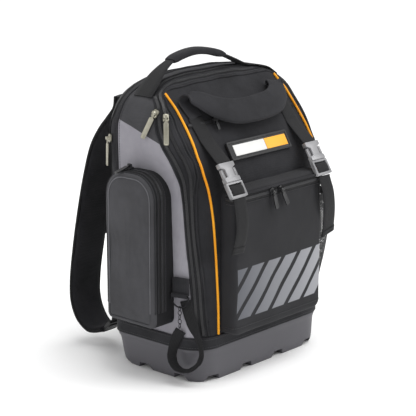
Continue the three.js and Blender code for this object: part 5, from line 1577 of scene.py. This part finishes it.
class BuildHarness(bpy.types.Operator):
    """Builds the shoulder straps, their webbing and buckles, the chest strap and the back pad"""

    bl_idname = "backpack.harness"
    bl_label = "Harness"

    def strap(self, hand, side):
        steps = 84
        path = curve([Vector((side * STRAP_X, y, z)) for y, z, _ in STRAP_ROWS], steps)

        def shape(k):
            wide = blend(STRAP_ROWS, k / steps, 2)
            return padded_shape(STRAP_WIDTH * wide, STRAP_THICK)

        bm = sweep(path, [X] * (steps + 1), shape)
        crumple(bm, 1.6, 40, 3.0 + side)
        made = piece(f"padded_strap_{hand}", bm, CHARCOAL, "charcoal_polyester", [f"shoulder_strap_{hand}"])
        for edge in (-1, 1):
            line = []
            for k, at in enumerate(path):
                wide = blend(STRAP_ROWS, k / steps, 2)
                line.append(at + X * edge * (STRAP_WIDTH * wide / 2 - 0.4))
            sides = [X] * len(line)
            binding = sweep(line, sides, lambda k: webbing_shape(4.5, 5.4))
            piece(f"strap_binding_{hand}_{'inner' if edge * side < 0 else 'outer'}", binding,
                  BINDING, "black_webbing")

    def execute(self, context):
        for hand, side in (("left", -1), ("right", 1)):
            self.strap(hand, side)
            adjuster = round_edges(node_mesh(f"strap_adjuster_{hand}"), 0.8, 3)
            piece(f"ladder_{hand}", adjuster, BLACK_PLASTIC, "black_plastic", [f"strap_adjuster_{hand}"])
            webbing = round_edges(node_mesh(f"strap_webbing_{hand}"), 0.4, 2)
            node = f"strap_webbing_{hand}"
            piece(f"harness_webbing_{hand}", webbing, BINDING_PLAIN, "black_webbing", [node])
            wing = round_edges(node_mesh(f"strap_wing_{hand}"), 1.2, 3)
            piece(f"wing_{hand}", wing, SHADOW_CHARCOAL, "charcoal_polyester", [f"strap_wing_{hand}"])
        chest = round_edges(node_mesh("sternum_strap"), 0.4, 2)
        piece("chest_webbing", chest, BINDING_PLAIN, "black_webbing", ["sternum_strap"])
        clasp = round_edges(node_mesh("sternum_clasp"), 0.9, 3)
        piece("chest_clasp", clasp, BLACK_PLASTIC, "black_plastic", ["sternum_clasp"])
        self.back_pad()
        return {"FINISHED"}

    def back_pad(self):
        def shape(inset):
            return outline(PAD_HALF, PAD_BOTTOM, PAD_TOP, PAD_CORNER, PAD_CORNER, inset, side=30, flat=24)

        def place(across, up, depth):
            skin = on_skin(Vector((-across, 400, up)), -Y)[0].y + 0.3
            channel = 5 * math.exp(-((across / (0.42 * PAD_GROOVE)) ** 4))
            return Vector((-across, max(depth - channel, skin), up))

        face = BACK_DEPTH + PAD_THICK
        levels = [(0, 0), (0, face - 9), (0.8, face - 5), (2.6, face - 2), (5.4, face - 0.5), (8, face)]
        bm = soft_box(shape, place, levels, 0.4, PAD_HALF)
        made = piece("spacer_back_pad", bm, AIR_MESH, "black_mesh", ["back_pad"])


class BackpackPanel(bpy.types.Panel):
    """Lists the pieces that the add-on builds, with their sizes and colours"""

    bl_idname = "VIEW3D_PT_backpack"
    bl_label = "Tool Backpack"
    bl_space_type = "VIEW_3D"
    bl_region_type = "UI"
    bl_category = "Backpack"

    def draw(self, context):
        for group in (context.scene.backpack_sizes, context.scene.backpack_colours):
            for key in group.__annotations__:
                self.layout.prop(group, key)
        for operator in OPERATORS:
            self.layout.operator(operator.bl_idname)


OPERATORS = [
    BuildStage, BuildShell, BuildTub, BuildPiping, BuildZipTracks, BuildSidePocket, BuildFrontPocket,
    BuildNetPocket, BuildBadge, BuildLashStraps, BuildHandles, BuildZipPulls, BuildTapeChain, BuildHarness,
]
CLASSES = [BackpackSizes, BackpackColours, *OPERATORS, BackpackPanel]


def register():
    for each in CLASSES:
        bpy.utils.register_class(each)
    bpy.types.Scene.backpack_sizes = PointerProperty(type=BackpackSizes)
    bpy.types.Scene.backpack_colours = PointerProperty(type=BackpackColours)


def unregister():
    del bpy.types.Scene.backpack_colours
    del bpy.types.Scene.backpack_sizes
    for each in reversed(CLASSES):
        bpy.utils.unregister_class(each)


def main():
    register()
    for operator in OPERATORS:
        group, name = operator.bl_idname.split(".")
        getattr(getattr(bpy.ops, group), name)()


if __name__ == "__main__":
    main()
